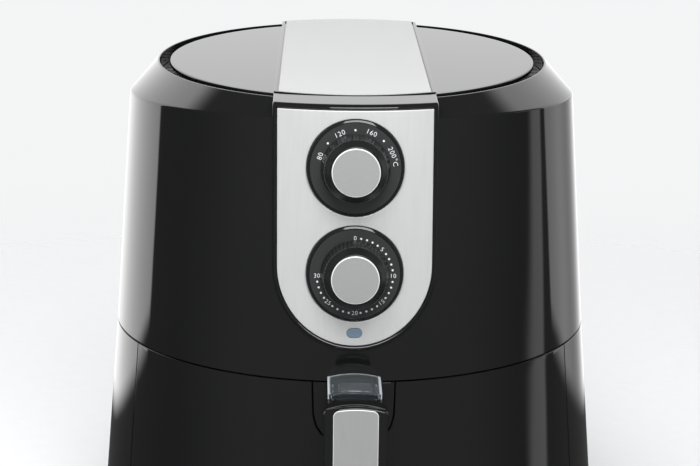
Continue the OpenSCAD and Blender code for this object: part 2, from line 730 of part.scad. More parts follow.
// Wire guard under the element, with three feet that spring into the chamber's wall
module element_guard() color(steel) placed() {
    for (r = [26:17:77]) translate([0, 0, guard_z]) rotate_extrude() translate([r, 0]) circle(r = 1, $fn = 16);
    for (a = [0:60:300]) rotate(a) translate([0, 12, guard_z + 1.5]) rotate([-90, 0, 0])
        cylinder(h = chamber_r - sheet - 12.4, r = 1.1, $fn = 16);
    translate([0, 0, guard_z + 1.5]) tube(1.2, 14, 10);
}

module insulation() color("#d9d2bf") placed() difference() {
    translate([0, 0, insulation_z]) cylinder(h = insulation_t, r = chamber_r - 3);
    cylinder(h = far, r = motor_shaft_r + pass_gap + 3);
    rotate(-45) translate([0, -bulb_r, 0]) cylinder(h = far, r = 1 + pass_gap, $fn = 32);
    element_ends() cylinder(h = far, r = element_tube_r + 2, $fn = 32);
}

module motor_plate() color(galvanised) placed() difference() {
    translate([0, 0, motor_plate_z]) union() {
        cylinder(h = motor_plate_t, r = chamber_r - 2);
        for (a = boss_angles) rotate(a - 180) translate([-8, 60, 0])
            cube([16, boss_r - 55, motor_plate_t]);
    }
    cylinder(h = far, r = motor_shaft_r + pass_gap + 3);
    rotate(-45) translate([0, -bulb_r, 0]) cylinder(h = far, r = 1 + pass_gap, $fn = 32);
    element_ends() cylinder(h = far, r = element_tube_r + 3, $fn = 32);
    for (a = boss_angles) rotate(a - 180) translate([0, boss_r, 0]) cylinder(h = far, r = 1.7, $fn = 32);
}

stand_r = cooling_fan_r + 8;

module motor_stand() color(galvanised) placed() {
    difference() {
        translate([0, 0, stand_top]) cylinder(h = sheet, r = stand_r + 3);
        cylinder(h = far, r = motor_shaft_r + pass_gap + 2);
        for (a = [45:90:315]) rotate(a) translate([44, 0, 0]) cylinder(h = far, r = 13);
    }
    for (a = [0:90:270]) rotate(a) translate([-5, stand_r - 1.5, motor_plate_z + motor_plate_t])
        cube([10, 1.5, stand_top - motor_plate_z - motor_plate_t]);
}

// Rotating group

module fan(r, hub_r, h, blades, disc_up) difference() {
    union() {
        cylinder(h = h, r = hub_r);
        translate([0, 0, disc_up ? h - sheet : 0]) cylinder(h = sheet, r = r);
        for (i = [0:blades - 1]) rotate(i * 360 / blades) translate([hub_r - 1, 0, 0]) rotate([0, 0, 14])
            translate([0, -0.5, 0]) cube([r - hub_r - 2, 1, h - 0.2]);
    }
    translate([0, 0, -1]) cylinder(h = h + 2, r = motor_shaft_r + 0.01);
}

module hot_air_fan() color("#a9acae") placed() {
    translate([0, 0, shaft_low + 6]) fan(hot_fan_r, 8, 13, 12, true);
    difference() {
        translate([0, 0, shaft_low + 1.5]) cylinder(h = 4.4, r = 5.5, $fn = 6);
        translate([0, 0, shaft_low]) cylinder(h = 8, r = motor_shaft_r + 0.01);
    }
}

module cooling_fan() color("#3b3d40") placed()
    translate([0, 0, motor_plate_z + motor_plate_t + 7]) fan(cooling_fan_r, 8, 11, 9, false);

module motor_shaft() color("#c8c9cb") placed()
    translate([0, 0, shaft_low]) cylinder(h = shaft_high - shaft_low, r = motor_shaft_r);

module motor_rotor() color("#8a8d90") placed() translate([0, 0, motor_z + 8.3])
    tube(20.4, rotor_r, motor_shaft_r + 0.01);

// Shaded-pole motor: lamination stack, coil on one limb, two end frames with bushes

stack_z = motor_z + 8.5;

module motor_stator() color("#6f7478") placed() translate([0, 0, stack_z]) difference() {
    translate([-32, -26, 0]) cube([64, 66, 20]);
    translate([0, 0, -1]) cylinder(h = 22, r = rotor_r + 0.4);
    translate([-21, 20, -1]) cube([42, 11, 22]);
    for (x = [-26, 26]) translate([x, 0, -1]) cylinder(h = 22, r = 2.1, $fn = 32);
}

module motor_coil() color("#a5562c") placed() translate([0, 0, stack_z]) difference() {
    translate([-20, 20.6, -6]) cube([40, 27, 32]);
    translate([-21, 30.8, -0.2]) cube([42, 9.4, 20.4]);
}

module motor_end_frames() color(galvanised) placed() {
    for (z = [motor_z, stack_z + 22.4]) translate([0, 0, z]) difference() {
        union() {
            translate([-31, -8, 3.5]) cube([62, 16, 2]);
            cylinder(h = 7.4, r = 8);
        }
        translate([0, 0, -1]) cylinder(h = 12, r = motor_shaft_r + running_gap);
        for (x = [-26, 26]) translate([x, 0, -1]) cylinder(h = 12, r = 1.9, $fn = 32);
    }
    for (x = [-26, 26]) translate([x, 0, motor_z - 0.2]) {
        cylinder(h = 37, r = 1.9, $fn = 32);
        translate([0, 0, 37]) cylinder(h = 2.4, r = 3.6, $fn = 6);
    }
}

module terminal_block() color("#e9e7e0") placed()
    translate([-18, wall_r(stand_top) - wall - 19, stand_top - 14]) difference() {
        cube([36, 12, 18]);
        for (x = [6:8:30]) translate([x, -1, 9]) rotate([-90, 0, 0]) cylinder(h = 10, r = 2.2, $fn = 24);
    }

gland_body_r = 6.5;

module cord_gland() color("#1a1a1a") placed() translate([0, 0, gland_z]) rotate([-90, 0, 0])
    difference() {
        union() {
            translate([0, 0, wall_r(gland_z) - 12]) cylinder(h = 13, r = gland_body_r);
            translate([0, 0, wall_r(gland_z) + 0.9]) cylinder(h = gland_flange_t - 0.9, r = gland_body_r + 3);
            translate([0, 0, wall_r(gland_z) - 10]) cylinder(h = 5.5, r = gland_body_r + 2.6, $fn = 6);
        }
        translate([0, 0, wall_r(gland_z) - 20]) cylinder(h = 40, r = gland_bore_r);
    }

// Switch behind the housing that is held in by the closed drawer
module drawer_switch() color("#20242a") placed() rotate(12)
    translate([0, housing_r + 0.1, ceiling_z - 20]) translate([-10, 0, 0]) cube([20, 8, 14]);

// Drawer

// Outline of the notch in the drawer front, seen from the front, shrunk by a margin
module notch(inset) forwards([
    [-24.2 + inset, seam_z + 9], [-24.1 + inset, seam_z], [-23.5 + inset, seam_z - 20],
    [-21.8 + inset, seam_z - 26.5], [-18.3 + inset * 0.7, seam_z - 31.5 + inset * 0.7],
    [-10, seam_z - 33.5 + inset], [10, seam_z - 33.5 + inset],
    [18.3 - inset * 0.7, seam_z - 31.5 + inset * 0.7], [21.8 - inset, seam_z - 26.5],
    [23.5 - inset, seam_z - 20], [24.1 - inset, seam_z], [24.2 - inset, seam_z + 9]]);

module drawer_front() color(black) placed() difference() {
    intersection() {
        difference() {
            wall_cone(drawer_bottom, lower_top, 0);
            wall_cone(drawer_bottom - 1, seam_z, -front_t);
        }
        front_wedge(drawer_half_angle - 0.25, 0, far);
    }
    notch(0);
}

module drawer_inner_panel() color("#2b2b2b") placed() intersection() {
    difference() {
        union() {
            translate([0, 0, drawer_bottom + 1.5]) tube(pan_rim_z - drawer_bottom - 1.5, panel_r, panel_r - panel_t);
            // ribs that join the panel to the drawer front
            intersection() {
                for (a = [-46, -25, 25, 46]) rotate(a)
                    translate([-1, -far, drawer_bottom + 4]) cube([2, far - panel_r + 1, 100]);
                wall_cone(0, seam_z, -front_t - seat_gap);
            }
        }
        for (a = [-17, 17]) rotate(a) translate([0, -panel_r + 5, seam_z - 44]) rotate([90, 0, 0])
            cylinder(h = 12, r = 1.6, $fn = 32);
    }
    front_wedge(57, 0, far);
}

module pan() color("#2f2f31") placed() rotate_extrude() polygon([
    [0, pan_floor], [pan_floor_r - 4, pan_floor], [pan_floor_r, pan_floor + 4], [pan_r, pan_rim_z - pan_t],
    [pan_rim_r, pan_rim_z - pan_t], [pan_rim_r, pan_rim_z], [pan_r - pan_t, pan_rim_z],
    [pan_floor_r - pan_t, pan_floor + 4.5], [pan_floor_r - 4.5, pan_floor + pan_t], [0, pan_floor + pan_t]]);

module pan_brackets() color(steel) placed() for (a = [-17, 17]) rotate(a) {
    difference() {
        intersection() {
            translate([-10, -panel_r, seam_z - 54]) cube([20, 40, 20]);
            cylinder(h = far, r = panel_r - panel_t - 0.02);
        }
        translate([0, 0, seam_z - 60]) cylinder(h = 10.5, r = panel_r - panel_t - 1.7);
        translate([0, 0, seam_z - 48]) cylinder(h = 20, r = panel_r - panel_t - 1.7);
        translate([0, 0, pan_floor])
            cylinder(h = pan_rim_z - pan_floor, r1 = pan_floor_r + 0.05, r2 = pan_r + 0.05);
        translate([0, -panel_r + 8, seam_z - 44]) rotate([90, 0, 0]) cylinder(h = 12, r = 1.5, $fn = 32);
    }
    translate([0, -panel_r - 1.9, seam_z - 44]) rotate([-90, 0, 0]) screw(7, 1.45, 2.8, 1.8);
}

module basket() color("#38383a") placed() difference() {
    rotate_extrude() polygon([
        [0, basket_floor], [basket_floor_r, basket_floor], [basket_r, pan_rim_z + 0.1],
        [pan_rim_r - 2, pan_rim_z + 0.1], [pan_rim_r - 2, pan_rim_z + 1.1], [basket_r - 1, pan_rim_z + 1.1],
        [basket_floor_r - 1, basket_floor + 1], [0, basket_floor + 1]]);
    for (ring = [1:5]) for (i = [0:6 * ring - 1]) rotate(i * 60 / ring)
        translate([ring * (basket_floor_r - 10) / 5, 0, basket_floor - 1]) cylinder(h = 4, r = 4, $fn = 24);
    for (i = [0:23], z = [basket_floor + 18:28:pan_rim_z - 24]) rotate(i * 15)
        translate([basket_floor_r - 8, -3, z]) cube([30, 6, 16]);
}

// Strap from the basket's rim to the handle, with two legs that are screwed to it
strap_z = pan_rim_z + 1.1;
strap_y = -(seam_r - 3.4);

module basket_strap() color(steel) placed() {
    difference() {
        union() {
            translate([-14, strap_y, strap_z]) cube([28, -strap_y - basket_r - 1, 1.2]);
            for (x = [-14, 9]) translate([x, strap_y, seam_z - 20]) cube([5, 1.2, strap_z + 1.2 - seam_z + 20]);
        }
        for (x = [-11.5, 11.5]) translate([x, strap_y + 4, seam_z - 12]) rotate([90, 0, 0])
            cylinder(h = 12, r = 1.6, $fn = 32);
    }
    for (x = [-11.5, 11.5]) translate([x, strap_y + 3.1, seam_z - 12]) rotate([90, 0, 0])
        screw(9, 1.45, 2.4, 1.8);
    // catch that the latch hooks under
    translate([-9, -(seam_r - 2), seam_z - 24.4]) cube([18, 3.4, 2.4]);
    for (x = [-9, 6]) translate([x, -(seam_r - 2), seam_z - 24.4]) cube([3, seam_r - 2 - panel_r - 0.02, 2.4]);
}

// Handle: one moulding fills the notch, carries the button and is the rear half of the grip

function seam_line(z) = grip_front + 12.5 + (cap_top - z) * tan(grip_lean) * 0.7;

module handle_body() color(black) placed() {
    handle_moulding();
    // stub axle that the latch rocks on
    translate([-8, latch_pivot[0], latch_pivot[1]]) rotate([0, 90, 0]) cylinder(h = 16, r = latch_pin_r);
}

module handle_moulding() difference() {
    union() {
        intersection() {
            difference() {
                wall_cone(seam_z - 40, lower_top, 0);
                wall_cone(seam_z - 41, seam_z, -front_t);
            }
            notch(0.6);
        }
        intersection() {
            across([[-seam_r + 1.5, lower_top], [-seam_r - 1, lower_top], [-seam_r - 1, track_z],
                [seam_line(track_z), track_z], [seam_line(grip_bottom), grip_bottom],
                [seam_line(grip_bottom) + 11, grip_bottom + 1], [seam_line(track_z) + 11.5, seam_z - 34],
                [seam_line(track_z) + 14, seam_z - 26], [-seam_r - 24, seam_z - 19.5],
                [-seam_r - 12, seam_z - 20], [-seam_r - 5, seam_z - 25], [-seam_r, seam_z - 30]],
                2 * grip_half_w);
            union() {
                translate([-far, -far, 0]) cube([2 * far, far + cap_rear + 6, far]);
                translate([-16, -far, 0]) cube([32, 2 * far, far]);
            }
        }
        for (x = [-7.5, 4.5]) translate([x, -(seam_r - 1.5), seam_z - 16]) cube([3, 10, 9.5]);
    }
    // well for the button and its spring, and the slot for the latch
    translate([-9.3, button_y - 8.3, seam_z - 10]) cube([18.6, 16.6, 20]);
    translate([-4.2, button_y + 2, seam_z - 16.5]) cube([8.4, 40, 8.8]);
    for (x = [-11.5, 11.5]) translate([x, strap_y + 4, seam_z - 12]) rotate([90, 0, 0])
        cylinder(h = 16, r = 1.5, $fn = 32);
    // slots for the guard's tongues
    for (x = [-12, 12]) translate([x - 1, cap_rear + 3, track_z - 3]) cube([2, 42, 9]);
}

// Front half of the grip with the raised cap, recessed for its metal plate
module handle_cover() color(black) placed() difference() {
    intersection() {
        across([[cap_rear, track_z + 0.05], [cap_rear, cap_top - 0.8], [grip_front + 3, cap_top],
            [grip_front + 0.6, cap_top - 0.5], [grip_front, cap_top - 1.8],
            [grip_front + (cap_top - grip_bottom) * tan(grip_lean), grip_bottom],
            [seam_line(grip_bottom) - 0.05, grip_bottom], [seam_line(track_z) - 0.05, track_z + 0.05]],
            2 * grip_half_w);
        translate([0, 0, cap_top - 57]) rotate([90, 0, 0]) {
            cylinder(h = far, r = 57);
            translate([-far / 2, -far, 0]) cube([far, far, far]);
        }
    }
    on_grip() translate([0, 0, -0.8]) grip_plate_shape(seat_gap, 5);
}

// A frame on the grip's front face: its Z points out of the face, its Y up along it
module on_grip() translate([0, grip_front, cap_top - 1.8]) rotate([90 + grip_lean, 0, 0]) children();

module grip_plate_shape(grow, t) {
    w = grip_plate_half_w + grow;
    linear_extrude(t) polygon(concat(
        [for (x = [-w + 2.5:2.5:w - 2.4]) [x, grow - x * x / 114]],
        [[w - 0.7, -2 + grow], [w, -3.6]],
        [[w, -72], [w - 3, -75 - grow], [-w + 3, -75 - grow], [-w, -72]],
        [[-w, -3.6], [-w + 0.7, -2 + grow]]));
}

module handle_plate() color("#bcbcbc") placed() on_grip() translate([0, 0, -0.75]) grip_plate_shape(0, 0.95);

module button_guard() color([0.8, 0.85, 0.9, 0.4]) placed() {
    crown = 51;
    difference() {
        intersection() {
            translate([-guard_half_w, guard_front, track_z + 0.3])
                cube([2 * guard_half_w, -guard_front, 20]);
            translate([0, 0, guard_top - crown]) rotate([90, 0, 0]) cylinder(h = far, r = crown);
        }
        intersection() {
            translate([-guard_half_w + 1.8, guard_front + 1.8, 0])
                cube([2 * guard_half_w - 3.6, -guard_front, far]);
            translate([0, 0, guard_top - crown]) rotate([90, 0, 0]) cylinder(h = far, r = crown - 1.8);
        }
        cylinder(h = far, r = guard_rear_r);
    }
    for (x = [-12, 12]) translate([x - 0.6, guard_front + 6, track_z - 2.4]) cube([1.2, 12, 5.9]);
}

module release_button() color("#2d3034") placed() {
    translate([-9, button_y - 8, seam_z - 3.5]) cube([18, 16, 5.3]);
    translate([-3, button_y + 3.2, seam_z - 7.9]) cube([6, 1.3, 4.5]);
}

// Helical spring: a round wire swept along a rising circle
spring_r = 2.3;
spring_wire_r = 0.35;
spring_low = seam_z - 9.95;
spring_high = seam_z - 3.55;
spring_turns = 5;

function spring_point(t) = [spring_r * cos(360 * spring_turns * t), spring_r * sin(360 * spring_turns * t),
    spring_low + spring_wire_r + (spring_high - spring_low - 2 * spring_wire_r) * t];

function spring_ring(t) = let (a = 360 * spring_turns * t) [for (k = [0:5]) spring_point(t)
    + spring_wire_r * (cos(k * 60) * [cos(a), sin(a), 0] + sin(k * 60) * [0, 0, 1])];

module button_spring() color(steel) placed() translate([0, button_y - 3, 0]) {
    steps = 16 * spring_turns;
    rings = [for (i = [0:steps]) spring_ring(i / steps)];
    polyhedron(points = [for (g = rings) each g],
        faces = concat([[for (k = [0:5]) k]], [[for (k = [5:-1:0]) steps * 6 + k]],
            [for (i = [0:steps - 1], k = [0:5])
                [i * 6 + k, (i + 1) * 6 + k, (i + 1) * 6 + (k + 1) % 6]],
            [for (i = [0:steps - 1], k = [0:5])
                [i * 6 + k, (i + 1) * 6 + (k + 1) % 6, i * 6 + (k + 1) % 6]]));
}

module latch() color(steel) placed() translate([0, latch_pivot[0], latch_pivot[1]]) difference() {
    union() {
        translate([-3.5, -21.5, -1.5]) cube([7, 20, 3.9]);
        translate([-3.5, -1, -14.6]) cube([7, 3, 14]);
        translate([-3.5, -3.4, -16.4]) cube([7, 5.4, 1.8]);
        translate([-4, 0, 0]) rotate([0, 90, 0]) cylinder(h = 8, r = 3.2);
    }
    rotate([0, 90, 0]) cylinder(h = 20, r = latch_pin_r + running_gap, center = true);
}

upper_shell();
lower_shell();
base_plate();
feet();
base_screws();
case_screws();
top_cover();
air_inlet_grille();
spine_bezel();
rear_cover();
exhaust_grille();
exhaust_duct();
top_plate();
control_plate();
temperature_dial();
timer_dial();
indicator_lens();
indicator_lamp();
temperature_knob();
temperature_cap();
thermostat_shaft();
timer_knob();
timer_cap();
timer_shaft();
control_bracket();
thermostat();
thermostat_bulb();
timer();
timer_bell();
drawer_housing();
drawer_runners();
heating_chamber();
heating_element();
element_guard();
insulation();
motor_plate();
motor_stand();
hot_air_fan();
cooling_fan();
motor_shaft();
motor_rotor();
motor_stator();
motor_coil();
motor_end_frames();
terminal_block();
cord_gland();
drawer_switch();
drawer_front();
drawer_inner_panel();
pan();
pan_brackets();
basket();
basket_strap();
handle_body();
handle_cover();
handle_plate();
button_guard();
release_button();
button_spring();
latch();
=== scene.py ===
import json
import math

import bmesh
import bpy
from mathutils import Matrix, Vector

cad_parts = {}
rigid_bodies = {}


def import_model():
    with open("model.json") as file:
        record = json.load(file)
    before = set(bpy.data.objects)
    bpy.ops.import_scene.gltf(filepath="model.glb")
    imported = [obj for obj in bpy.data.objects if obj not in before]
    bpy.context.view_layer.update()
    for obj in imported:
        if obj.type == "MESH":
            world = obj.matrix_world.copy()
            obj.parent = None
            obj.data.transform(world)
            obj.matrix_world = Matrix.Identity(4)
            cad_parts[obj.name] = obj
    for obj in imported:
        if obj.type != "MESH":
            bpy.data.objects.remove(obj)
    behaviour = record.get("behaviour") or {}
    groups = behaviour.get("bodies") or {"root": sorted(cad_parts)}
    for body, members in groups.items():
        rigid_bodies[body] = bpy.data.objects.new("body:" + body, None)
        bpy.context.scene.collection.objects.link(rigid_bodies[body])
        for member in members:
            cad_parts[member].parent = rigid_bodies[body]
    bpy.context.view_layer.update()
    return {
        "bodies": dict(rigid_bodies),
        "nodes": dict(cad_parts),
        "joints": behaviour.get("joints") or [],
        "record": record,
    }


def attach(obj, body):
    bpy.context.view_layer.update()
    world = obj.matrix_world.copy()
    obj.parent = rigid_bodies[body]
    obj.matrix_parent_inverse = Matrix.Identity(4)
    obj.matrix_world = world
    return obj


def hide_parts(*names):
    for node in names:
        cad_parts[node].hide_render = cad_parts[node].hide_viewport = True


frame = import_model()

scene = bpy.context.scene

# ---------------------------------------------------------------- the set
# A plain pale table under a plain soft studio light. The camera looks down a little at the
# fryer's front from just left of its middle.

scene.view_settings.view_transform = "Standard"

camera_data = bpy.data.cameras.new("camera")
camera_data.sensor_width = 36
camera_data.lens = 105.1


def placed(name, data):
    """A new object in the scene."""
    new = bpy.data.objects.new(name, data)
    scene.collection.objects.link(new)
    return new


camera = placed("camera", camera_data)
camera.location = (-0.0238, -1.2368, 0.514)
pan, tip, lean = math.radians(-1.07), math.radians(90 - 13.88), math.radians(0.5)
aimed = Matrix.Rotation(pan, 3, "Z") @ Matrix.Rotation(tip, 3, "X") @ Matrix.Rotation(lean, 3, "Z")
camera.rotation_euler = aimed.to_euler()
scene.camera = camera


def new_node(tree, kind, inputs=None, **settings):
    """A shader node with its settings and unlinked inputs, by name or by number."""
    node = tree.nodes.new(kind)
    for name, value in settings.items():
        setattr(node, name, value)
    for name, value in (inputs or {}).items():
        if isinstance(value, bpy.types.NodeSocket):
            tree.links.new(value, node.inputs[name])
        else:
            node.inputs[name].default_value = value
    return node


def math_node(tree, operation, a, b=0.0, c=0.0):
    return new_node(tree, "ShaderNodeMath", {0: a, 1: b, 2: c}, operation=operation).outputs[0]


def product(tree, *values):
    """Several values multiplied together."""
    whole = values[0]
    for value in values[1:]:
        whole = math_node(tree, "MULTIPLY", whole, value)
    return whole


def smooth_step(tree, value, start, stop, low=0.0, high=1.0):
    """Goes smoothly from low to high as the value goes from start to stop."""
    return new_node(
        tree, "ShaderNodeMapRange",
        {"Value": value, "From Min": start, "From Max": stop, "To Min": low, "To Max": high},
        interpolation_type="SMOOTHSTEP",
    ).outputs["Result"]


def softbox(name, place, aim, width, height, power, mirrored):
    """A soft rectangular studio lamp; gloss mirrors it only where it is asked to."""
    lamp_data = bpy.data.lights.new(name, "AREA")
    lamp_data.shape = "RECTANGLE"
    lamp_data.size = width
    lamp_data.size_y = height
    lamp_data.energy = power
    lamp = placed(name, lamp_data)
    lamp.location = place
    lamp.rotation_euler = (Vector(aim) - Vector(place)).to_track_quat("-Z", "Y").to_euler()
    lamp.visible_glossy = mirrored


softbox("overhead_lamp", (-0.5, -0.3, 1.7), (0, 0, 0.2), 1.6, 1.2, 14, False)
softbox("panel_lamp", (0.0, -0.40, 0.62), (0, -0.14, 0.30), 0.3, 0.12, 1.25, False)
softbox("front_lamp", (0.1, -0.95, 1.0), (0, -0.1, 0.24), 0.6, 0.4, 7, True)

# What gloss mirrors: a bright white wall behind the fryer, from the table up to the ceiling,
# brightest on the left and partly covered on the right; and a dim room in front of it.
room = bpy.data.worlds.new("studio")
room.use_nodes = True
room.cycles.sampling_method = "NONE"
scene.world = room
tree = room.node_tree
tree.nodes.clear()
direction = new_node(tree, "ShaderNodeTexCoord").outputs["Generated"]
sideways, backward, upward = new_node(tree, "ShaderNodeSeparateXYZ", {0: direction}).outputs
left_end = smooth_step(tree, backward, 0.40, 0.425)
ceiling = smooth_step(tree, upward, 0.64, 0.74, 1.0, 0.0)
above_table = math_node(tree, "MULTIPLY_ADD", backward, 0.18, upward)
table_line = smooth_step(tree, above_table, -0.145, -0.125)
wall_light = smooth_step(tree, sideways, -0.5, -0.15, 1.95, 1.45)
right_low = product(
    tree, smooth_step(tree, sideways, 0.25, 0.6), smooth_step(tree, upward, -0.08, 0.06, 1.0, 0.0),
)
cover = smooth_step(tree, sideways, 0.62, 0.8, -0.62, -0.3)
covered = math_node(tree, "MULTIPLY_ADD", right_low, cover, 1.0)
lit_wall = product(tree, wall_light, covered, left_end, ceiling, table_line)
strip_light = product(
    tree, smooth_step(tree, sideways, 0.925, 0.94),
    smooth_step(tree, sideways, 0.965, 0.985, 0.75, 0.0), smooth_step(tree, backward, -0.02, 0.1),
)
dim_room = smooth_step(tree, backward, -0.75, 0.05, 0.22, 0.08)
mirrored = math_node(tree, "ADD", math_node(tree, "ADD", lit_wall, strip_light), dim_room)
seen = new_node(tree, "ShaderNodeLightPath")
even = new_node(tree, "ShaderNodeBackground", {"Color": (0.96, 0.98, 1.0, 1), "Strength": 0.72})
gloss = new_node(tree, "ShaderNodeBackground", {"Color": (1.0, 1.0, 1.0, 1), "Strength": mirrored})
backdrop = new_node(
    tree, "ShaderNodeBackground", {"Color": (0.905, 0.91, 0.915, 1), "Strength": 1.0}
)
with_gloss = new_node(
    tree, "ShaderNodeMixShader",
    {0: seen.outputs["Is Glossy Ray"], 1: even.outputs[0], 2: gloss.outputs[0]},
)
plain = math_node(tree, "MAXIMUM", seen.outputs["Is Camera Ray"], seen.outputs["Is Transmission Ray"])
with_backdrop = new_node(
    tree, "ShaderNodeMixShader", {0: plain, 1: with_gloss.outputs[0], 2: backdrop.outputs[0]}
)
new_node(tree, "ShaderNodeOutputWorld", {0: with_backdrop.outputs[0]})


def surface(name):
    """A new node material: its tree, its Principled shader and its object coordinates."""
    material = bpy.data.materials.new(name)
    material.use_nodes = True
    nodes = material.node_tree
    shader = nodes.nodes["Principled BSDF"]
    place = new_node(nodes, "ShaderNodeTexCoord").outputs["Object"]
    return material, nodes, shader, place


def noise(tree, place, scale, detail=2.0, roughness=0.5, stretch=(1, 1, 1)):
    """Noise at so many grains to the metre, stretched along the axes."""
    spread = new_node(
        tree, "ShaderNodeMapping", {"Vector": place, "Scale": [scale * s for s in stretch]}
    )
    grain = new_node(
        tree, "ShaderNodeTexNoise",
        {"Vector": spread.outputs[0], "Scale": 1.0, "Detail": detail, "Roughness": roughness},
    )
    return grain.outputs["Fac"]


def between(tree, value, low, high, start=0.0, stop=1.0):
    """Maps a value from start..stop to low..high, clamped."""
    return new_node(
        tree, "ShaderNodeMapRange",
        {"Value": value, "From Min": start, "From Max": stop, "To Min": low, "To Max": high},
    ).outputs["Result"]


def tint(tree, value, dark, light):
    """A colour between two, by a value from 0 to 1."""
    mix = new_node(tree, "ShaderNodeMix", data_type="RGBA")
    tree.links.new(value, mix.inputs["Factor"])
    mix.inputs[6].default_value = (*dark, 1)
    mix.inputs[7].default_value = (*light, 1)
    return mix.outputs[2]


def bump(tree, shader, height, depth, strength=1.0):
    """Raises the surface by a height from 0 to 1, times a depth in metres."""
    raised = new_node(
        tree, "ShaderNodeBump", {"Height": height, "Distance": depth, "Strength": strength}
    )
    tree.links.new(raised.outputs[0], shader.inputs["Normal"])


# The table: a round pale top that fades out before its edge.
table_r = 1.15
table_mesh = bpy.data.meshes.new("table")
table_bm = bmesh.new()
bmesh.ops.create_circle(table_bm, cap_ends=True, segments=96, radius=table_r)
table_bm.to_mesh(table_mesh)
table_bm.free()
table = placed("table", table_mesh)
table_top, tree, shader, place = surface("table_top")
grain = noise(tree, place, 90, detail=4)
tree.links.new(tint(tree, grain, (0.80, 0.80, 0.80), (0.84, 0.84, 0.845)), shader.inputs["Base Color"])
shader.inputs["Roughness"].default_value = 0.55
shader.inputs["Specular IOR Level"].default_value = 0.2
out_from_middle = new_node(tree, "ShaderNodeVectorMath", {0: place}, operation="LENGTH")
fade = smooth_step(tree, out_from_middle.outputs["Value"], 0.3, table_r, 1.0, 0.0)
in_gloss = new_node(tree, "ShaderNodeLightPath").outputs["Is Glossy Ray"]
dimmed = math_node(tree, "MULTIPLY_ADD", in_gloss, -1.0, 1.0)
from_above = math_node(
    tree, "SUBTRACT", 1.0, new_node(tree, "ShaderNodeNewGeometry").outputs["Backfacing"]
)
dimmed = math_node(tree, "MULTIPLY", dimmed, from_above)
tree.links.new(math_node(tree, "MULTIPLY", fade, dimmed), shader.inputs["Alpha"])
table_mesh.materials.append(table_top)

# ---------------------------------------------------------------- upper shell
# One black high-gloss ABS moulding: a leaning round wall, a sloping shoulder and the rim of the
# recess in the flat top. Columns inside it take the screws that come up through the seam.

seam_r = 148.0
seam_z = 150.0
upper_h = 144.7
upper_lean = math.radians(4.03)
lower_lean = math.radians(4.8)
wall = 2.5
seam_gap = 0.8
shoulder_w = 18.4
shoulder_h = 19.6
edge_tilt = math.radians(2.55)
top_tilt = math.radians(2.62)
recess_depth = 10.5
chamber_r = 98.0
axis_y = 27.235
shoulder_z = seam_z + upper_h
edge_r = seam_r - upper_h * math.tan(upper_lean)
rim_r = edge_r - shoulder_w
rim_z = shoulder_z + shoulder_h
lip_w = 1.0


def wall_radius(z):
    """Radius of the body's outside at a height, in millimetres about its own axis."""
    if z > seam_z:
        return seam_r - (z - seam_z) * math.tan(upper_lean)
    return seam_r + (seam_z - z) * math.tan(lower_lean)


def to_row(point):
    """Millimetres about the body's axis to metres in the shared frame."""
    return Vector((point[0], point[1] + axis_y, point[2])) / 1000


def round_axis(angle, r, z):
    return Vector((r * math.sin(angle), r * math.cos(angle), z))


def on_top(point):
    """From the flat top's own plane, which tilts forward, to the body's axis."""
    return Matrix.Rotation(top_tilt, 3, "X") @ Vector(point) + Vector((0, 0, rim_z))


def shoulder_edge(angle, inset=0.0, drop=0.0):
    """The line where the side wall turns into the shoulder, which drops towards the back."""
    fall = math.cos(angle) * math.tan(edge_tilt)
    r = edge_r / (1 - fall * math.tan(upper_lean)) - inset
    return round_axis(angle, r, shoulder_z - drop - r * fall)


def softened(corners, steps=4, closed=True):
    """The outline through (point, size) corners, each rounded over that size."""
    outline = []
    corners = [(Vector(point), size) for point, size in corners]
    count = len(corners)
    for i, (point, size) in enumerate(corners):
        if size == 0 or (not closed and i in (0, count - 1)):
            outline.append(point)
            continue
        start = point + (corners[i - 1][0] - point).normalized() * size
        stop = point + (corners[(i + 1) % count][0] - point).normalized() * size
        for k in range(steps + 1):
            t = k / steps
            outline.append(start * (1 - t) ** 2 + point * 2 * t * (1 - t) + stop * t * t)
    return outline


def mesh_piece(name, points, faces, sharp=30):
    """A piece from points in millimetres about the body's axis, closed and facing outwards."""
    mesh = bpy.data.meshes.new(name)
    mesh.from_pydata([to_row(p) for p in points], [], faces)
    bm = bmesh.new()
    bm.from_mesh(mesh)
    bmesh.ops.remove_doubles(bm, verts=bm.verts, dist=1e-7)
    bmesh.ops.recalc_face_normals(bm, faces=bm.faces)
    bm.to_mesh(mesh)
    bm.free()
    piece = placed(name, mesh)
    smooth(piece, sharp)
    return piece


def smooth(piece, sharp=30):
    piece.data.shade_smooth()
    piece.data.set_sharp_from_angle(angle=math.radians(sharp))


def swept(name, outline_at, segments=256, sharp=30):
    """A wall swept round the axis: its closed outline may change with the angle."""
    rings = [outline_at(2 * math.pi * i / segments) for i in range(segments)]
    n = len(rings[0])
    faces = []
    for i in range(segments):
        here, there = i * n, (i + 1) % segments * n
        for k in range(n):
            m = (k + 1) % n
            faces.append((here + k, here + m, there + m, there + k))
    return mesh_piece(name, [p for ring in rings for p in ring], faces, sharp)


def use_modifiers(piece):
    """Makes the piece's live modifiers part of its mesh."""
    depsgraph = bpy.context.evaluated_depsgraph_get()
    mesh = bpy.data.meshes.new_from_object(piece.evaluated_get(depsgraph))
    piece.modifiers.clear()
    piece.data = mesh


def combine(piece, others, sharp=30, operation="DIFFERENCE"):
    """Cuts closed shapes out of a piece, or unites them with it, and removes them."""
    for other in others:
        step = piece.modifiers.new(operation, "BOOLEAN")
        step.operation = operation
        step.solver = "EXACT"
        step.object = other
    use_modifiers(piece)
    for other in others:
        bpy.data.objects.remove(other)
    smooth(piece, sharp)


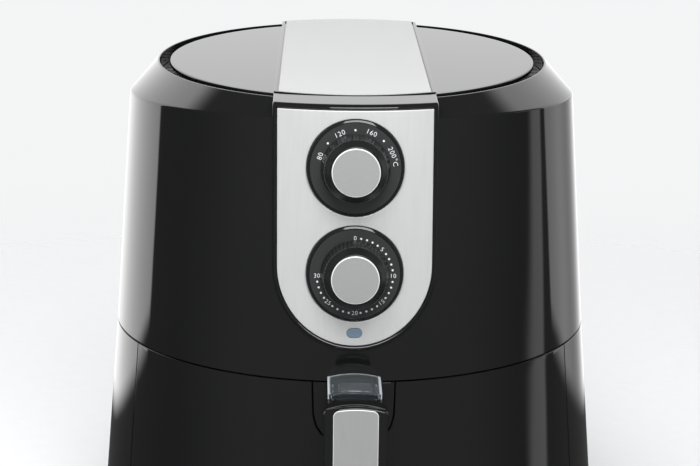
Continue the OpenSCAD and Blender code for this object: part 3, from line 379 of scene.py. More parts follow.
def block(name, low, high, frame=None):
    """A plain box between two corners, in a frame on the object; used to cut and to fill."""
    sides = list(zip(low, high))
    corners = [Vector((x, y, z)) for x in sides[0] for y in sides[1] for z in sides[2]]
    faces = [(0, 1, 3, 2), (4, 6, 7, 5), (0, 4, 5, 1), (2, 3, 7, 6), (0, 2, 6, 4), (1, 5, 7, 3)]
    return mesh_piece(name, [frame(c) if frame else c for c in corners], faces)


def rod(name, outline, frame, segments=48):
    """A solid turned about a frame's Z: the outline is (radius, height) pairs from end to end."""
    points = []
    for r, h in outline:
        for i in range(segments):
            a = 2 * math.pi * i / segments
            points.append(frame(Vector((r * math.cos(a), r * math.sin(a), h))))
    faces = [tuple(range(segments)), tuple(range(len(points) - segments, len(points)))]
    for k in range(len(outline) - 1):
        for i in range(segments):
            j = (i + 1) % segments
            row = k * segments
            faces.append((row + i, row + j, row + segments + j, row + segments + i))
    return mesh_piece(name, points, faces)


def joined(name, pieces, sharp=30):
    """Several closed meshes as one piece."""
    bm = bmesh.new()
    for piece in pieces:
        bm.from_mesh(piece.data)
    mesh = bpy.data.meshes.new(name)
    bm.to_mesh(mesh)
    bm.free()
    for piece in pieces:
        bpy.data.objects.remove(piece)
    whole = placed(name, mesh)
    smooth(whole, sharp)
    return whole


def fitted(piece, material, slot, body, *nodes):
    """Gives a finished piece its material, the body it rides on and the CAD nodes it stands for."""
    flat_faces_first = piece.modifiers.new("flat_faces_first", "WEIGHTED_NORMAL")
    flat_faces_first.keep_sharp = True
    flat_faces_first.weight = 100
    use_modifiers(piece)
    piece.data.materials.clear()
    piece.data.materials.append(material)
    if nodes:
        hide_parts(*nodes)
    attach(piece, body)


def on_wall(z):
    """The frame on the front wall: Z straight out of the wall, Y up along it."""
    turn = Matrix.Rotation(math.pi / 2 - upper_lean, 3, "X")
    origin = Vector((0, -wall_radius(z), z))
    return lambda p: turn @ Vector(p) + origin


# Black high-gloss plastic: a nearly flat polish with faint sink marks and wiping haze.
gloss_black, tree, shader, place = surface("gloss_black_plastic")
haze = noise(tree, place, 22, detail=5, stretch=(1, 1, 0.35))
fine = noise(tree, place, 900, detail=2)
tree.links.new(between(tree, haze, 0.035, 0.075, 0.35, 0.75), shader.inputs["Roughness"])
hazy_black = tint(tree, haze, (0.0052, 0.0053, 0.0055), (0.0074, 0.0074, 0.0076))
tree.links.new(hazy_black, shader.inputs["Base Color"])
shader.inputs["IOR"].default_value = 1.52
sink = noise(tree, place, 38, detail=1)
waves = math_node(tree, "MULTIPLY_ADD", fine, 0.012, sink)
bump(tree, shader, waves, 0.00004, 0.6)

bottom = seam_z + seam_gap / 2


def upper_outline(angle):
    def top(r, z):
        return on_top(round_axis(angle, r, z))

    return softened(
        [
            (round_axis(angle, wall_radius(bottom) - wall, bottom), 0.0),
            (round_axis(angle, wall_radius(bottom), bottom), 0.5),
            (shoulder_edge(angle), 1.1),
            (top(rim_r + lip_w, 0), 0.45),
            (top(rim_r, 0), 0.35),
            (top(rim_r, -recess_depth), 0.4),
            (top(chamber_r, -recess_depth), 0.0),
            (top(chamber_r, -recess_depth - wall), 0.0),
            (top(rim_r + 1.8, -recess_depth - wall), 0.0),
            (top(rim_r + 1.8, -3.4), 0.0),
            (shoulder_edge(angle, wall, 0.9), 0.0),
        ]
    )


upper_shell = swept("upper_shell_moulding", upper_outline)
temperature_z = 273.7
timer_z = 213.35
lens_z = 179.0
shaft_hole_r = 7.0
openings = []
for z in (temperature_z, timer_z):
    openings.append(rod("shaft_hole", [(shaft_hole_r, -8), (shaft_hole_r, 8)], on_wall(z)))
openings.append(block("lens_hole", (-4.5, -2.95, -8), (4.5, 2.95, 8), on_wall(lens_z)))
openings.append(block("louvre_window", (-30, 60, 213.4), (30, 200, 278.7)))
openings.append(block("exhaust_window", (-20, 60, 158), (20, 200, 180)))
for i in range(18):
    a = math.radians(i * 20 + 10)
    centre = round_axis(a, (rim_r + chamber_r) / 2, 0)
    openings.append(
        rod("air_hole", [(6, -15), (6, -8)], lambda p, c=centre: on_top(p + c), segments=24)
    )
combine(upper_shell, openings)
fitted(upper_shell, gloss_black, "black_gloss", "housing", "upper_shell")

# ---------------------------------------------------------------- lower shell
# The lower half of the body in the same black gloss plastic. It curves in to the base, is open
# at the front for the drawer, and has a jamb on each side of the opening.

shell_bottom = 8.0
round_z = shell_bottom + 16
round_w = 9.6
base_r = wall_radius(round_z)
drawer_bottom = 24.0
drawer_gap = 0.6
drawer_half_angle = math.radians(61.5)
housing_r = 123.0
lower_top = seam_z - seam_gap / 2


def lower_outline(angle):
    outside, inside = [], []
    for degrees in range(90, -1, -6):
        t = math.radians(degrees)
        for inset, side in ((0, outside), (wall, inside)):
            r = base_r - round_w + (round_w - inset) * math.cos(t)
            z = round_z - (round_z - shell_bottom - inset) * math.sin(t)
            side.append(round_axis(angle, r, z))
    top_in = round_axis(angle, wall_radius(lower_top) - wall, lower_top)
    top_out = round_axis(angle, wall_radius(lower_top), lower_top)
    top = softened([(outside[-1], 0), (top_out, 0.5), (top_in, 0), (inside[-1], 0)], closed=False)
    foot = [
        round_axis(angle, base_r - 23, shell_bottom + wall),
        round_axis(angle, base_r - 23, shell_bottom),
    ]
    return outside + top[1:-1] + inside[::-1] + foot


lower_shell = swept("lower_shell_moulding", lower_outline)
reach = 400.0
wedge_points = []
for z in (drawer_bottom - drawer_gap, 200):
    wedge_points.append(Vector((0, 0, z)))
    for side in (-1, 1):
        x = side * reach * math.sin(drawer_half_angle)
        wedge_points.append(Vector((x, -reach * math.cos(drawer_half_angle), z)))
drawer_opening = mesh_piece(
    "drawer_opening", wedge_points, [(0, 1, 2), (3, 5, 4), (0, 3, 4, 1), (1, 4, 5, 2), (2, 5, 3, 0)]
)
gland_z = 52.0
gland_hole_r = 6.6
gland_hole = rod(
    "gland_hole", [(gland_hole_r, 120), (gland_hole_r, 200)], lambda p: Vector((p.x, p.z, p.y + gland_z))
)
combine(lower_shell, [drawer_opening, gland_hole])
jambs = []
jamb_front, jamb_back = -66.0, -52.0
jamb_in = housing_r + 1.3
for side in (-1, 1):
    points = []
    for z in (drawer_bottom, seam_z - 2):
        r = wall_radius(z) - wall / 2
        front_x, back_x = (math.sqrt(r * r - y**2) for y in (jamb_front, jamb_back))
        plan = [(jamb_in, jamb_front), (front_x, jamb_front), (back_x, jamb_back), (jamb_in, jamb_back)]
        points += [Vector((side * x, y, z)) for x, y in plan]
    faces = [(0, 1, 2, 3), (4, 5, 6, 7), (0, 1, 5, 4), (1, 2, 6, 5), (2, 3, 7, 6), (3, 0, 4, 7)]
    jambs.append(mesh_piece("jamb", points, faces))
lower_shell = joined("lower_shell_moulding", [lower_shell, *jambs])
fitted(lower_shell, gloss_black, "black_gloss", "housing", "lower_shell")

# ---------------------------------------------------------------- top cover and air gap
# A smoke-black glossy disc with a ring beneath it drops into the recess of the top. The air for
# the motor goes down between the disc and the rim, through the slots of a ring inlet below.

cover_r = 113.0
cover_t = 3.0
cover_ring = (105.5, 108.0)


def finish(
    name, dark, light, polish, metallic=0.0, grain=60, stretch=(1, 1, 1), relief=0.0, detail=4, **more
):
    """A surface whose colour and polish, its roughness range, follow one grain.

    more sets other inputs of the Principled shader, with _ for each space in their names.
    """
    material, tree, shader, place = surface(name)
    pattern = noise(tree, place, grain, detail=detail, stretch=stretch)
    tree.links.new(tint(tree, pattern, dark, light), shader.inputs["Base Color"])
    tree.links.new(between(tree, pattern, *polish, 0.3, 0.7), shader.inputs["Roughness"])
    shader.inputs["Metallic"].default_value = metallic
    for setting, value in more.items():
        shader.inputs[setting.replace("_", " ")].default_value = value
    if relief:
        bump(tree, shader, pattern, relief, 0.5)
    return material


def nodes_of(material):
    """A material's tree, its Principled shader and its object coordinates."""
    tree = material.node_tree
    return tree, tree.nodes["Principled BSDF"], tree.nodes["Texture Coordinate"].outputs["Object"]


def turned_ring(name, outline, frame, segments):
    """A closed (radius, height) outline turned about a frame's Z."""

    def ring(a):
        return [frame(Vector((r * math.cos(a), r * math.sin(a), h))) for r, h in outline]

    return swept(name, ring, segments)


def keep(material, *nodes):
    """Pieces whose modelled shape is right stay and get their real surface."""
    for node in nodes:
        frame["nodes"][node].material_slots[0].material = material


smoke = finish(
    "smoke_disc_plastic", (0.004, 0.0043, 0.0048), (0.006, 0.0063, 0.0068), (0.04, 0.075), grain=16,
    IOR=1.52,
)
disc = rod(
    "top_cover",
    [
        (cover_r - 0.6, -cover_t), (cover_r, -cover_t + 0.5), (cover_r, -0.75),
        (cover_r - 0.1, -0.4), (cover_r - 0.35, -0.13), (cover_r - 0.7, 0), (cover_r - 3, 0),
    ],
    on_top, segments=192,
)
disc_ring = turned_ring(
    "disc_ring",
    [
        (cover_ring[0], -cover_t - 0.01), (cover_ring[1], -cover_t - 0.01),
        (cover_ring[1], -recess_depth), (cover_ring[0], -recess_depth),
    ],
    on_top, segments=128,
)
fitted(joined("top_cover_disc", [disc, disc_ring]), smoke, "smoke_disc", "housing", "top_cover")

# Black satin plastic with a fine spark-eroded grain.
black_satin = finish(
    "black_satin_plastic", (0.020, 0.0203, 0.0208), (0.027, 0.0273, 0.0278), (0.36, 0.5),
    grain=1500, relief=0.00001, detail=2,
)
keep(black_satin, "air_inlet_grille")

# ---------------------------------------------------------------- bezel over the spine
# A black gloss strap frames the control plate on the front, turns over the corner and runs under
# the top plate. It stands a little proud of the wall and clips into the upper shell.

bezel_w = 2.8
bezel_t = 1.5
bezel_low = 0.1
plate_half_w = 44.2
plate_foot_z = 215.9
plate_top_z = 306.0
corner_z = 306.41
corner_r = 3.0
pocket_gap = 0.3
strap_end_r = 113.7


def over_corner(point):
    """From (across, along, out) to the body: up the front wall, round the corner, along the top."""
    x, along, out = point
    turn_end = math.pi / 2 - top_tilt
    if along <= corner_z:
        r, z = wall_radius(along) + out, along
    else:
        turn = min((along - corner_z) / corner_r, turn_end)
        centre_r = wall_radius(corner_z) - corner_r + bezel_t
        r = centre_r + (corner_r - bezel_t + out) * math.cos(turn)
        z = corner_z + (corner_r - bezel_t + out) * math.sin(turn)
        past = along - corner_z - corner_r * turn_end
        if past > 0:
            r -= past * math.cos(top_tilt)
            z += past * math.sin(top_tilt)
    return Vector((x, -math.sqrt(max(r * r - x * x, 0)), z))


def inset(outline, distance):
    """Moves a closed outline towards its material, which lies on its left."""
    moved = []
    for i, p in enumerate(outline):
        before = (p - outline[i - 1]).normalized()
        after = (outline[(i + 1) % len(outline)] - p).normalized()
        n1, n2 = Vector((-before.y, before.x)), Vector((-after.y, after.x))
        moved.append(p + (n1 + n2) / max(1 + n1.dot(n2), 0.35) * distance)
    return moved


def slab(name, loops, place_at, low, high, edge_low=0.0, edge_high=0.3, cuts=(), sharp=35):
    """A sheet between two levels, round-edged, from a plan outline and its holes, bent into place.

    cuts lists (axis, start, stop, step): the plan is divided there so that it can bend.
    """
    steps = [(1 - math.sin(t), 1 - math.cos(t)) for t in (0, math.pi / 6, math.pi / 3, math.pi / 2)]
    levels = [(edge_low * a, low + edge_low * b) for a, b in steps] if edge_low else [(0, low)]
    rise = [(edge_high * a, high - edge_high * b) for a, b in reversed(steps)]
    levels += rise if edge_high else [(0, high)]
    bm = bmesh.new()
    ends = ([], [])
    for loop in loops:
        rings = []
        for distance, level in levels:
            plan = inset(loop, distance) if distance else loop
            rings.append([bm.verts.new((p.x, p.y, level)) for p in plan])
        n = len(loop)
        for one, two in zip(rings, rings[1:]):
            for i in range(n):
                bm.faces.new((one[i], one[(i + 1) % n], two[(i + 1) % n], two[i]))
        for k in (0, -1):
            ring = rings[k]
            for i in range(n):
                ends[k].append(bm.edges.get((ring[i], ring[(i + 1) % n])))
    for edges in ends:
        bmesh.ops.triangle_fill(bm, use_beauty=True, edges=edges)
    for axis, start, stop, step in cuts:
        for i in range(int((stop - start) / step) + 1):
            point, normal = [0, 0, 0], [0, 0, 0]
            point[axis], normal[axis] = start + i * step, 1
            everything = bm.verts[:] + bm.edges[:] + bm.faces[:]
            bmesh.ops.bisect_plane(bm, geom=everything, dist=1e-4, plane_co=point, plane_no=normal)
    bm.verts.index_update()
    points = [place_at(v.co) for v in bm.verts]
    faces = [tuple(v.index for v in f.verts) for f in bm.faces]
    bm.free()
    return mesh_piece(name, points, faces, sharp)


def spine_outline(grow, top, clockwise=False):
    """The control plate's plan: a half-round foot and straight sides up to a height."""
    half = plate_half_w + grow
    outline = []
    for i in range(41):
        a = math.pi + math.pi * i / 40
        outline.append(Vector((half * math.cos(a), plate_foot_z + half * math.sin(a))))
    rise = [plate_foot_z + (top - plate_foot_z) * i / 24 for i in range(1, 25)]
    outline += [Vector((half, z)) for z in rise]
    outline += [Vector((-half, z)) for z in rise[::-1]]
    return outline[::-1] if clockwise else outline


front_reach = corner_z + corner_r * (math.pi / 2 - top_tilt)
front_reach += wall_radius(corner_z) - corner_r + bezel_t - strap_end_r
bezel_frame = slab(
    "bezel_frame",
    [spine_outline(bezel_w, front_reach), spine_outline(pocket_gap, plate_top_z + 0.3, True)],
    over_corner, bezel_low, bezel_t, edge_high=1.2,
    cuts=[(0, -40, 40, 4), (1, corner_z, corner_z + 5, 0.4), (1, corner_z + 7, front_reach, 3)],
)
top_plate_half_w = 44.0
top_plate_narrowing = 2.0
top_plate_front_y = -119.4
top_plate_length = 258.8


def strap_half(y, grow):
    """Half width of the top plate, which narrows towards the back."""
    behind = y - top_plate_front_y
    return top_plate_half_w - top_plate_narrowing * behind / top_plate_length + grow


def strap_outline(front_r, back_r, grow, clockwise=False):
    """The top plate's plan: round front and back ends and slightly tapered sides."""
    outline = []
    for r, side in ((front_r, -1), (back_r, 1)):
        half = strap_half(side * r * 0.93, grow)
        for i in range(25):
            x = side * half * (1 - 2 * i / 24)
            outline.append(Vector((x, side * math.sqrt(r * r - x * x))))
    return outline[::-1] if clockwise else outline


strap_t = 0.6
strap_back_r = 121.8
strap = slab("strap", [strap_outline(110.0, strap_back_r, bezel_w)], on_top, 0.1, strap_t, edge_high=0)
rail_gap = 0.8
rail_plans = [strap_outline(113.9, strap_back_r, bezel_w)]
rail_plans.append(strap_outline(strap_end_r, strap_back_r - 0.1, rail_gap, True))
rails = slab("rails", rail_plans, on_top, strap_t, bezel_t, edge_high=0.2)
spine_bezel = joined("spine_bezel_strap", [bezel_frame, strap, rails], 35)
fitted(spine_bezel, gloss_black, "black_gloss", "housing", "spine_bezel")

# ---------------------------------------------------------------- top plate
# A bright satin aluminium plate lies in the strap from the front rim to the back rim, stamped
# from sheet with its edges eased; its printed face is left bare.

plate_t = 1.2
plate_low = 0.65


def satin_metal(name, dark, light, polish, metallic, stretch):
    """Satin-brushed sheet: a long fine grain along one direction."""
    return finish(name, dark, light, polish, metallic, 600, stretch, 0.000004, detail=3)


top_metal = satin_metal(
    "top_plate_aluminium", (0.40, 0.40, 0.40), (0.455, 0.455, 0.455), (0.38, 0.44), 0.35, (1, 0.02, 1)
)
top_plate = slab(
    "top_plate_sheet", [strap_outline(113.5, 121.5, 0.0)], on_top,
    plate_low, plate_low + plate_t, edge_high=0.25,
)
fitted(top_plate, top_metal, "top_metal", "housing", "top_plate")

# ---------------------------------------------------------------- control plate
# Satin stainless sheet bent to the front wall inside the bezel. It is pierced for the two dials
# and the indicator, and the pierced edges are rolled; a lighter, less metallic colour on all its
# edges paints their highlight.

ring_r = 27.7
panel_metal = satin_metal(
    "control_plate_steel", (0.64, 0.64, 0.635), (0.71, 0.71, 0.705), (0.36, 0.42), 0.45, (1, 1, 0.03)
)
# Polished edges whose bright line is a painted highlight: a lighter, mostly diffuse colour.
polished_edge_painted_highlight = finish(
    "aluminium_edge_painted_highlight", (0.80, 0.80, 0.80), (0.86, 0.86, 0.86), (0.3, 0.36), 0.2, grain=200
)


def second_finish(piece, material, chosen):
    """Gives one more surface to the faces that chosen(middle, normal) picks, in millimetres."""
    piece.data.materials.append(material)
    for face in piece.data.polygons:
        middle = Vector(face.center) * 1000 - Vector((0, axis_y, 0))
        if chosen(middle, face.normal):
            face.material_index = len(piece.data.materials) - 1


def off_the_wall(middle, normal):
    """Picks the faces that don't lie along the round wall."""
    return normal.dot(Vector((middle.x, middle.y, 0)).normalized()) < 0.93


def hole(r, z, segments=72):
    turns = [-2 * math.pi * i / segments for i in range(segments)]
    return [Vector((r * math.cos(a), z + r * math.cos(upper_lean) * math.sin(a))) for a in turns]


def oblong(half, r, z=0.0, way=1):
    """An outline with round ends, anticlockwise, or clockwise (way -1) for a hole."""
    outline = []
    for side in (1, -1):
        for i in range(17):
            a = way * math.pi * i / 16 - way * side * math.pi / 2
            outline.append(Vector((side * half + r * math.cos(a), z + r * math.sin(a))))
    return outline


control_plate = slab(
    "control_plate_sheet",
    [
        spine_outline(0.0, plate_top_z), hole(ring_r + 0.15, temperature_z),
        hole(ring_r + 0.15, timer_z), oblong(1.5, 2.85, lens_z, -1),
    ],
    over_corner, 0.1, 1.1, edge_high=0.5, cuts=[(0, -42, 42, 3)],
)
fitted(control_plate, panel_metal, "panel_metal", "housing", "control_plate")
# The plate's outer and pierced edges get the painted highlight.
second_finish(control_plate, polished_edge_painted_highlight, off_the_wall)

# ---------------------------------------------------------------- dial rings
# Satin black rings with a stepped gloss rim, let into the plate and lying on the wall behind it.
# Their scales are pad-printed in white round the knobs: degrees above, minutes below.

ring_front = 2.4
rim_top_r = 25.7


def wall_behind(at_frame, x, y):
    """Local height at which a line along a wall frame's Z meets the wall."""
    h = 0.0
    for _ in range(6):
        p = at_frame(Vector((x, y, h)))
        h -= (math.hypot(p.x, p.y) - wall_radius(p.z) - 0.02) * 0.98
    return h


def dial_ring(name, z):
    """A ring whose back follows the round wall."""
    at_frame = on_wall(z)
    low = -9.0
    outline = [(shaft_hole_r, low), (13.0, low), (18.0, low), (23.0, low), (ring_r, low)]
    outline += [(ring_r, 0.3), (ring_r - 0.2, 0.75), (ring_r - 0.5, 1.05)]
    outline += [(rim_top_r + 0.5, ring_front - 1.0), (rim_top_r + 0.4, ring_front - 0.9)]
    outline += [(rim_top_r + 0.1, ring_front - 0.06), (rim_top_r, ring_front)]
    outline.append((shaft_hole_r, ring_front))

    def laid(p):
        return at_frame(Vector((p.x, p.y, wall_behind(at_frame, p.x, p.y))) if p.z == low else p)

    return turned_ring(name, outline, laid, segments=160)


dial_satin = finish(
    "dial_satin_plastic", (0.024, 0.0245, 0.025), (0.031, 0.0315, 0.032), (0.30, 0.40),
    grain=1400, relief=0.000008, detail=2,
)
rim_gloss = finish(
    "dial_rim_plastic", (0.006, 0.006, 0.0062), (0.009, 0.009, 0.0092), (0.06, 0.1), grain=80
)


def beyond(at_frame, radius):
    """Picks faces farther than a radius from a frame's Z."""
    origin = at_frame(Vector((0, 0, 0)))
    axis = at_frame(Vector((0, 0, 1))) - origin

    def chosen(middle, normal):
        arm = middle - origin
        return (arm - axis * arm.dot(axis)).length > radius

    return chosen


scale_print = finish(
    "white_scale_ink", (0.62, 0.63, 0.64), (0.72, 0.73, 0.74), (0.35, 0.5), grain=900
)
scale_level = ring_front
print_t = 0.05


def lifted(name, mesh, turned, middle, at_frame, source):
    """Lays a flat mesh on a dial's face at a point of its wall frame; source and mesh go."""
    offset = Vector((middle[0], middle[1], scale_level + print_t / 2))
    points = [at_frame(turned @ v.co + offset) for v in mesh.vertices]
    faces = [tuple(f.vertices) for f in mesh.polygons]
    bpy.data.objects.remove(source)
    bpy.data.meshes.remove(mesh)
    return mesh_piece(name, points, faces)


def printed(text, size, middle, turn, at_frame):
    """A printed word as a thin mesh, its middle at a point of a wall frame, turned clockwise."""
    curve = bpy.data.curves.new("word", "FONT")
    curve.body = text
    curve.size = size
    curve.align_x = "CENTER"
    curve.align_y = "CENTER"
    curve.extrude = print_t / 2
    curve.resolution_u = 3
    curve.offset = -0.02
    curve.space_character = 1.12
    word = placed("word", curve)
    bpy.context.view_layer.update()
    mesh = bpy.data.meshes.new_from_object(word.evaluated_get(bpy.context.evaluated_depsgraph_get()))
    return lifted("word", mesh, Matrix.Rotation(-turn, 3, "Z"), middle, at_frame, word)


def shape_with_nodes(piece, name, material, settings, build):
    """Shapes a piece by a node group, gives it its material and makes that its mesh.

    settings lists (input, kind, value); build makes the geometry from the group and its inputs.
    """
    group = bpy.data.node_groups.new(name, "GeometryNodeTree")
    sockets = group.interface
    sockets.new_socket("Piece", in_out="INPUT", socket_type="NodeSocketGeometry")
    values = []
    for label, kind, value in [*settings, ("Surface", "Material", material)]:
        socket = sockets.new_socket(label, in_out="INPUT", socket_type="NodeSocket" + kind)
        values.append((socket.identifier, value))
    sockets.new_socket("Piece", in_out="OUTPUT", socket_type="NodeSocketGeometry")
    start, end = group.nodes.new("NodeGroupInput"), group.nodes.new("NodeGroupOutput")
    real = new_node(group, "GeometryNodeRealizeInstances", {"Geometry": build(group, start.outputs)})
    surfaced = new_node(
        group, "GeometryNodeSetMaterial",
        {"Geometry": real.outputs[0], "Material": start.outputs["Surface"]},
    )
    group.links.new(surfaced.outputs[0], end.inputs[0])
    shaped = piece.modifiers.new(name, "NODES")
    shaped.node_group = group
    for identifier, value in values:
        shaped[identifier] = value
    use_modifiers(piece)


def round_dots(group, given):
    """A flat printed dot on every point."""
    dot = new_node(
        group, "GeometryNodeMeshCylinder",
        {"Vertices": 16, "Radius": given["Dot radius"], "Depth": given["Ink thickness"]},
    )
    laid = new_node(
        group, "GeometryNodeInstanceOnPoints",
        {"Points": given["Piece"], "Instance": dot.outputs["Mesh"]},
    )
    return laid.outputs[0]


def dots_round(name, turns, radius, middle, dot_r, at_frame):
    """Round printed dots laid on an arc by a node group, at the given clockwise turns."""
    mesh = bpy.data.meshes.new(name)
    spots = [Vector((radius * math.sin(t), radius * math.cos(t), 0)) for t in turns]
    mesh.from_pydata(spots, [], [])
    piece = placed(name, mesh)
    settings = [("Dot radius", "Float", dot_r), ("Ink thickness", "Float", print_t)]
    shape_with_nodes(piece, name, scale_print, settings, round_dots)
    return lifted(name, piece.data, Matrix.Identity(3), middle, at_frame, piece)


def round_scale(name, marks, dot_turns, radius, middle, size, dot_r, at_frame):
    """Numbers at (text, clockwise degrees, tilt) and dots, printed round a dial."""
    words = []
    for text, degrees, tilt in marks:
        a = math.radians(degrees)
        place_on = (middle[0] + radius * math.sin(a), middle[1] + radius * math.cos(a))
        words.append(printed(text, size, place_on, math.radians(tilt), at_frame))
    turns = [math.radians(d) for d in dot_turns]
    dots = dots_round(name + "_dots", turns, radius, middle, dot_r, at_frame)
    fitted(joined(name, [*words, dots]), scale_print, "black_satin", "housing")


temperature_ring = dial_ring("temperature_dial_ring", temperature_z)
fitted(temperature_ring, dial_satin, "black_satin", "housing", "temperature_dial")
second_finish(temperature_ring, rim_gloss, beyond(on_wall(temperature_z), rim_top_r - 0.1))
round_scale(
    "temperature_scale",
    [("80", -71.5, -71), ("120", -26.5, -25), ("160", 21.8, 22), ("200", 65, 65), ("°C", 80.5, 80)],
    (-49, -2.5, 43.8), 21.7, (0.7, 0.0), 4.0, 0.62, on_wall(temperature_z),
)
timer_ring = dial_ring("timer_dial_ring", timer_z)
fitted(timer_ring, dial_satin, "black_satin", "housing", "timer_dial")
second_finish(timer_ring, rim_gloss, beyond(on_wall(timer_z), rim_top_r - 0.1))
minute_marks = [("0", 0, 0), ("5", 45, 35), ("10", 90, 0), ("15", 135, -35), ("20", 180, 0)]
minute_marks += [("25", 225, 35), ("30", 270, 0)]
round_scale(
    "timer_scale", minute_marks, [minute * 9 for minute in range(30) if minute % 5], 21.6,
    (0.1, -0.9), 3.5, 0.6, on_wall(timer_z),
)

# ---------------------------------------------------------------- indicator
# A smoky blue-grey lens in a pierced oblong of the plate, with a small lamp behind it.

lens_plastic = finish(
    "lens_plastic", (0.16, 0.23, 0.30), (0.20, 0.28, 0.36), (0.12, 0.2), grain=700,
    Transmission_Weight=0.25,
)
lens = slab("indicator_lens_cap", [oblong(1.55, 2.75)], on_wall(lens_z), -2.6, 1.8, edge_high=0.6)
fitted(lens, lens_plastic, "lens", "housing", "indicator_lens")
keep(finish(
    "lamp_ceramic", (0.70, 0.66, 0.58), (0.80, 0.77, 0.70), (0.25, 0.4), grain=200,
), "indicator_lamp")

# ---------------------------------------------------------------- knobs and caps
# Two black gloss knobs moulded with fine flutes round a tapering side; the front rim is rounded
# and holds a spun metal cap. Each is pushed on to the shaft of the thermostat or of the timer.

knob_r = 19.6
knob_foot = 2.8
cap_r = 13.6
flutes = 48
flute_depth = 0.32
flute_fade = (12.8, 14.6)
flute_inner_r = 17.2

knob_gloss = finish(
    "knob_gloss_plastic", (0.006, 0.0062, 0.0062), (0.010, 0.0102, 0.0102), (0.26, 0.34), grain=90,
    IOR=1.5,
)


def flute_push(group, given):
    """Presses flutes into a knob's side, deepest at the foot and none at the rim."""

    def vector_node(operation, inputs):
        return new_node(group, "ShaderNodeVectorMath", inputs, operation=operation).outputs

    spot = group.nodes.new("GeometryNodeInputPosition").outputs[0]
    arm = vector_node("SUBTRACT", {0: spot, 1: given["Middle"]})["Vector"]
    height = vector_node("DOT_PRODUCT", {0: arm, 1: given["Axis"]})["Value"]
    rise = vector_node("SCALE", {0: given["Axis"], "Scale": height})["Vector"]
    flat = vector_node("SUBTRACT", {0: arm, 1: rise})["Vector"]
    outward = vector_node("NORMALIZE", {0: flat})["Vector"]
    distance = vector_node("LENGTH", {0: flat})["Value"]
    across = vector_node("CROSS_PRODUCT", {0: given["Axis"], 1: given["Upright"]})["Vector"]
    turn = math_node(
        group, "ARCTAN2", vector_node("DOT_PRODUCT", {0: outward, 1: across})["Value"],
        vector_node("DOT_PRODUCT", {0: outward, 1: given["Upright"]})["Value"],
    )
    wave = math_node(group, "COSINE", math_node(group, "MULTIPLY", turn, given["Flutes"]))
    wave = math_node(group, "MAXIMUM", wave, -0.2)
    fade_start, fade_end = (height_mm / 1000 for height_mm in flute_fade)
    on_side = smooth_step(group, height, fade_start, fade_end, 1.0, 0.0)
    outside = math_node(group, "GREATER_THAN", distance, flute_inner_r / 1000)
    push = product(group, wave, on_side, outside, given["Depth"], -1.0)
    inward = vector_node("SCALE", {0: outward, "Scale": push})
    pressed = new_node(
        group, "GeometryNodeSetPosition", {"Geometry": given["Piece"], "Offset": inward["Vector"]},
    )
    return pressed.outputs[0]


def knob_outline():
    """(radius, height) from the bore's top, round the foot and side, to the cap's recess."""
    outline = [(3.05, 14.6), (3.05, 7.8), (12.0, 7.8), (12.0, knob_foot), (19.0, knob_foot)]
    outline += [(19.4, 3.0), (knob_r, 3.4)]
    outline += [(knob_r - 1.7 * i / 12, 3.4 + 11.2 * i / 12) for i in range(1, 13)]
    outline += [(17.8, 15.0), (17.62, 15.4), (17.35, 15.75), (17.0, 16.1), (14.9, 18.9)]
    outline += [(14.6, 19.3), (14.25, 19.55), (13.98, 19.6), (13.8, 19.45), (13.72, 19.1)]
    return outline + [(13.72, 18.2), (3.05, 18.2)]


shaft_steel = finish(
    "bright_steel", (0.40, 0.40, 0.41), (0.50, 0.50, 0.51), (0.28, 0.40), 0.9,
    grain=500, stretch=(0.1, 1, 1), relief=0.000003,
)
cap_metal = finish(
    "cap_aluminium", (0.385, 0.385, 0.385), (0.43, 0.43, 0.43), (0.34, 0.42), 0.45,
    grain=900, relief=0.000003,
)
for name, z, body, shaft in (
    ("temperature", temperature_z, "temperature_knob", "thermostat_shaft"),
    ("timer", timer_z, "timer_knob", "timer_shaft"),
):
    at_frame = on_wall(z)
    knob = rod(name + "_knob_moulding", knob_outline(), at_frame, segments=384)
    base = to_row(at_frame(Vector((0, 0, 0))))
    out = (to_row(at_frame(Vector((0, 0, 1)))) - base).normalized()
    up = (to_row(at_frame(Vector((0, 1, 0)))) - base).normalized()
    settings = [
        ("Flutes", "Float", float(flutes)), ("Depth", "Float", flute_depth / 1000),
        ("Middle", "Vector", base), ("Axis", "Vector", out), ("Upright", "Vector", up),
    ]
    shape_with_nodes(knob, "knob_flutes", knob_gloss, settings, flute_push)
    smooth(knob, 40)
    fitted(knob, knob_gloss, "knob_black", body, name + "_knob")
    cap = rod(
        name + "_knob_cap",
        [
            (cap_r - 0.2, 18.25), (cap_r, 18.4), (cap_r, 20.0), (cap_r - 0.08, 20.12),
            (cap_r - 0.4, 20.45), (cap_r - 0.5, 20.52), (cap_r - 0.6, 20.55), (0.4, 20.55),
        ],
        at_frame, segments=128,
    )
    fitted(cap, cap_metal, "cap_metal", body, name + "_cap")
    # The cap's rim gets the painted highlight.
    second_finish(cap, polished_edge_painted_highlight, beyond(at_frame, cap_r - 0.55))
    keep(shaft_steel, shaft)

# ---------------------------------------------------------------- drawer front
# The drawer's front is one gloss black moulding that carries on the body's taper, with a notch in
# the middle of its top edge that the handle fills. Its inner panel is screwed on behind.

front_half_angle = math.radians(61.25)
front_t = 3.0
notch_half = 24.15
notch_sides = [(10.0, 116.5), (18.3, 118.5), (21.8, 123.5), (23.5, 130.0), (notch_half, lower_top)]


def round_front(point):
    """From (arc at the seam's radius, height, out) to the front of the body."""
    angle = point[0] / seam_r
    r = wall_radius(point[1]) + point[2]
    return Vector((r * math.sin(angle), -r * math.cos(angle), point[1]))


def on_arc(points, side):
    """Points (x, z) as seen from the front to (arc, height), on the right (1) or left (-1)."""
    return [Vector((side * seam_r * math.asin(p.x / wall_radius(p.y)), p.y)) for p in points]


def curved(points):
    """Rounds the inner corners of an open line of (x, z) points."""
    return softened([(p, 1.6) for p in points], 5, closed=False)


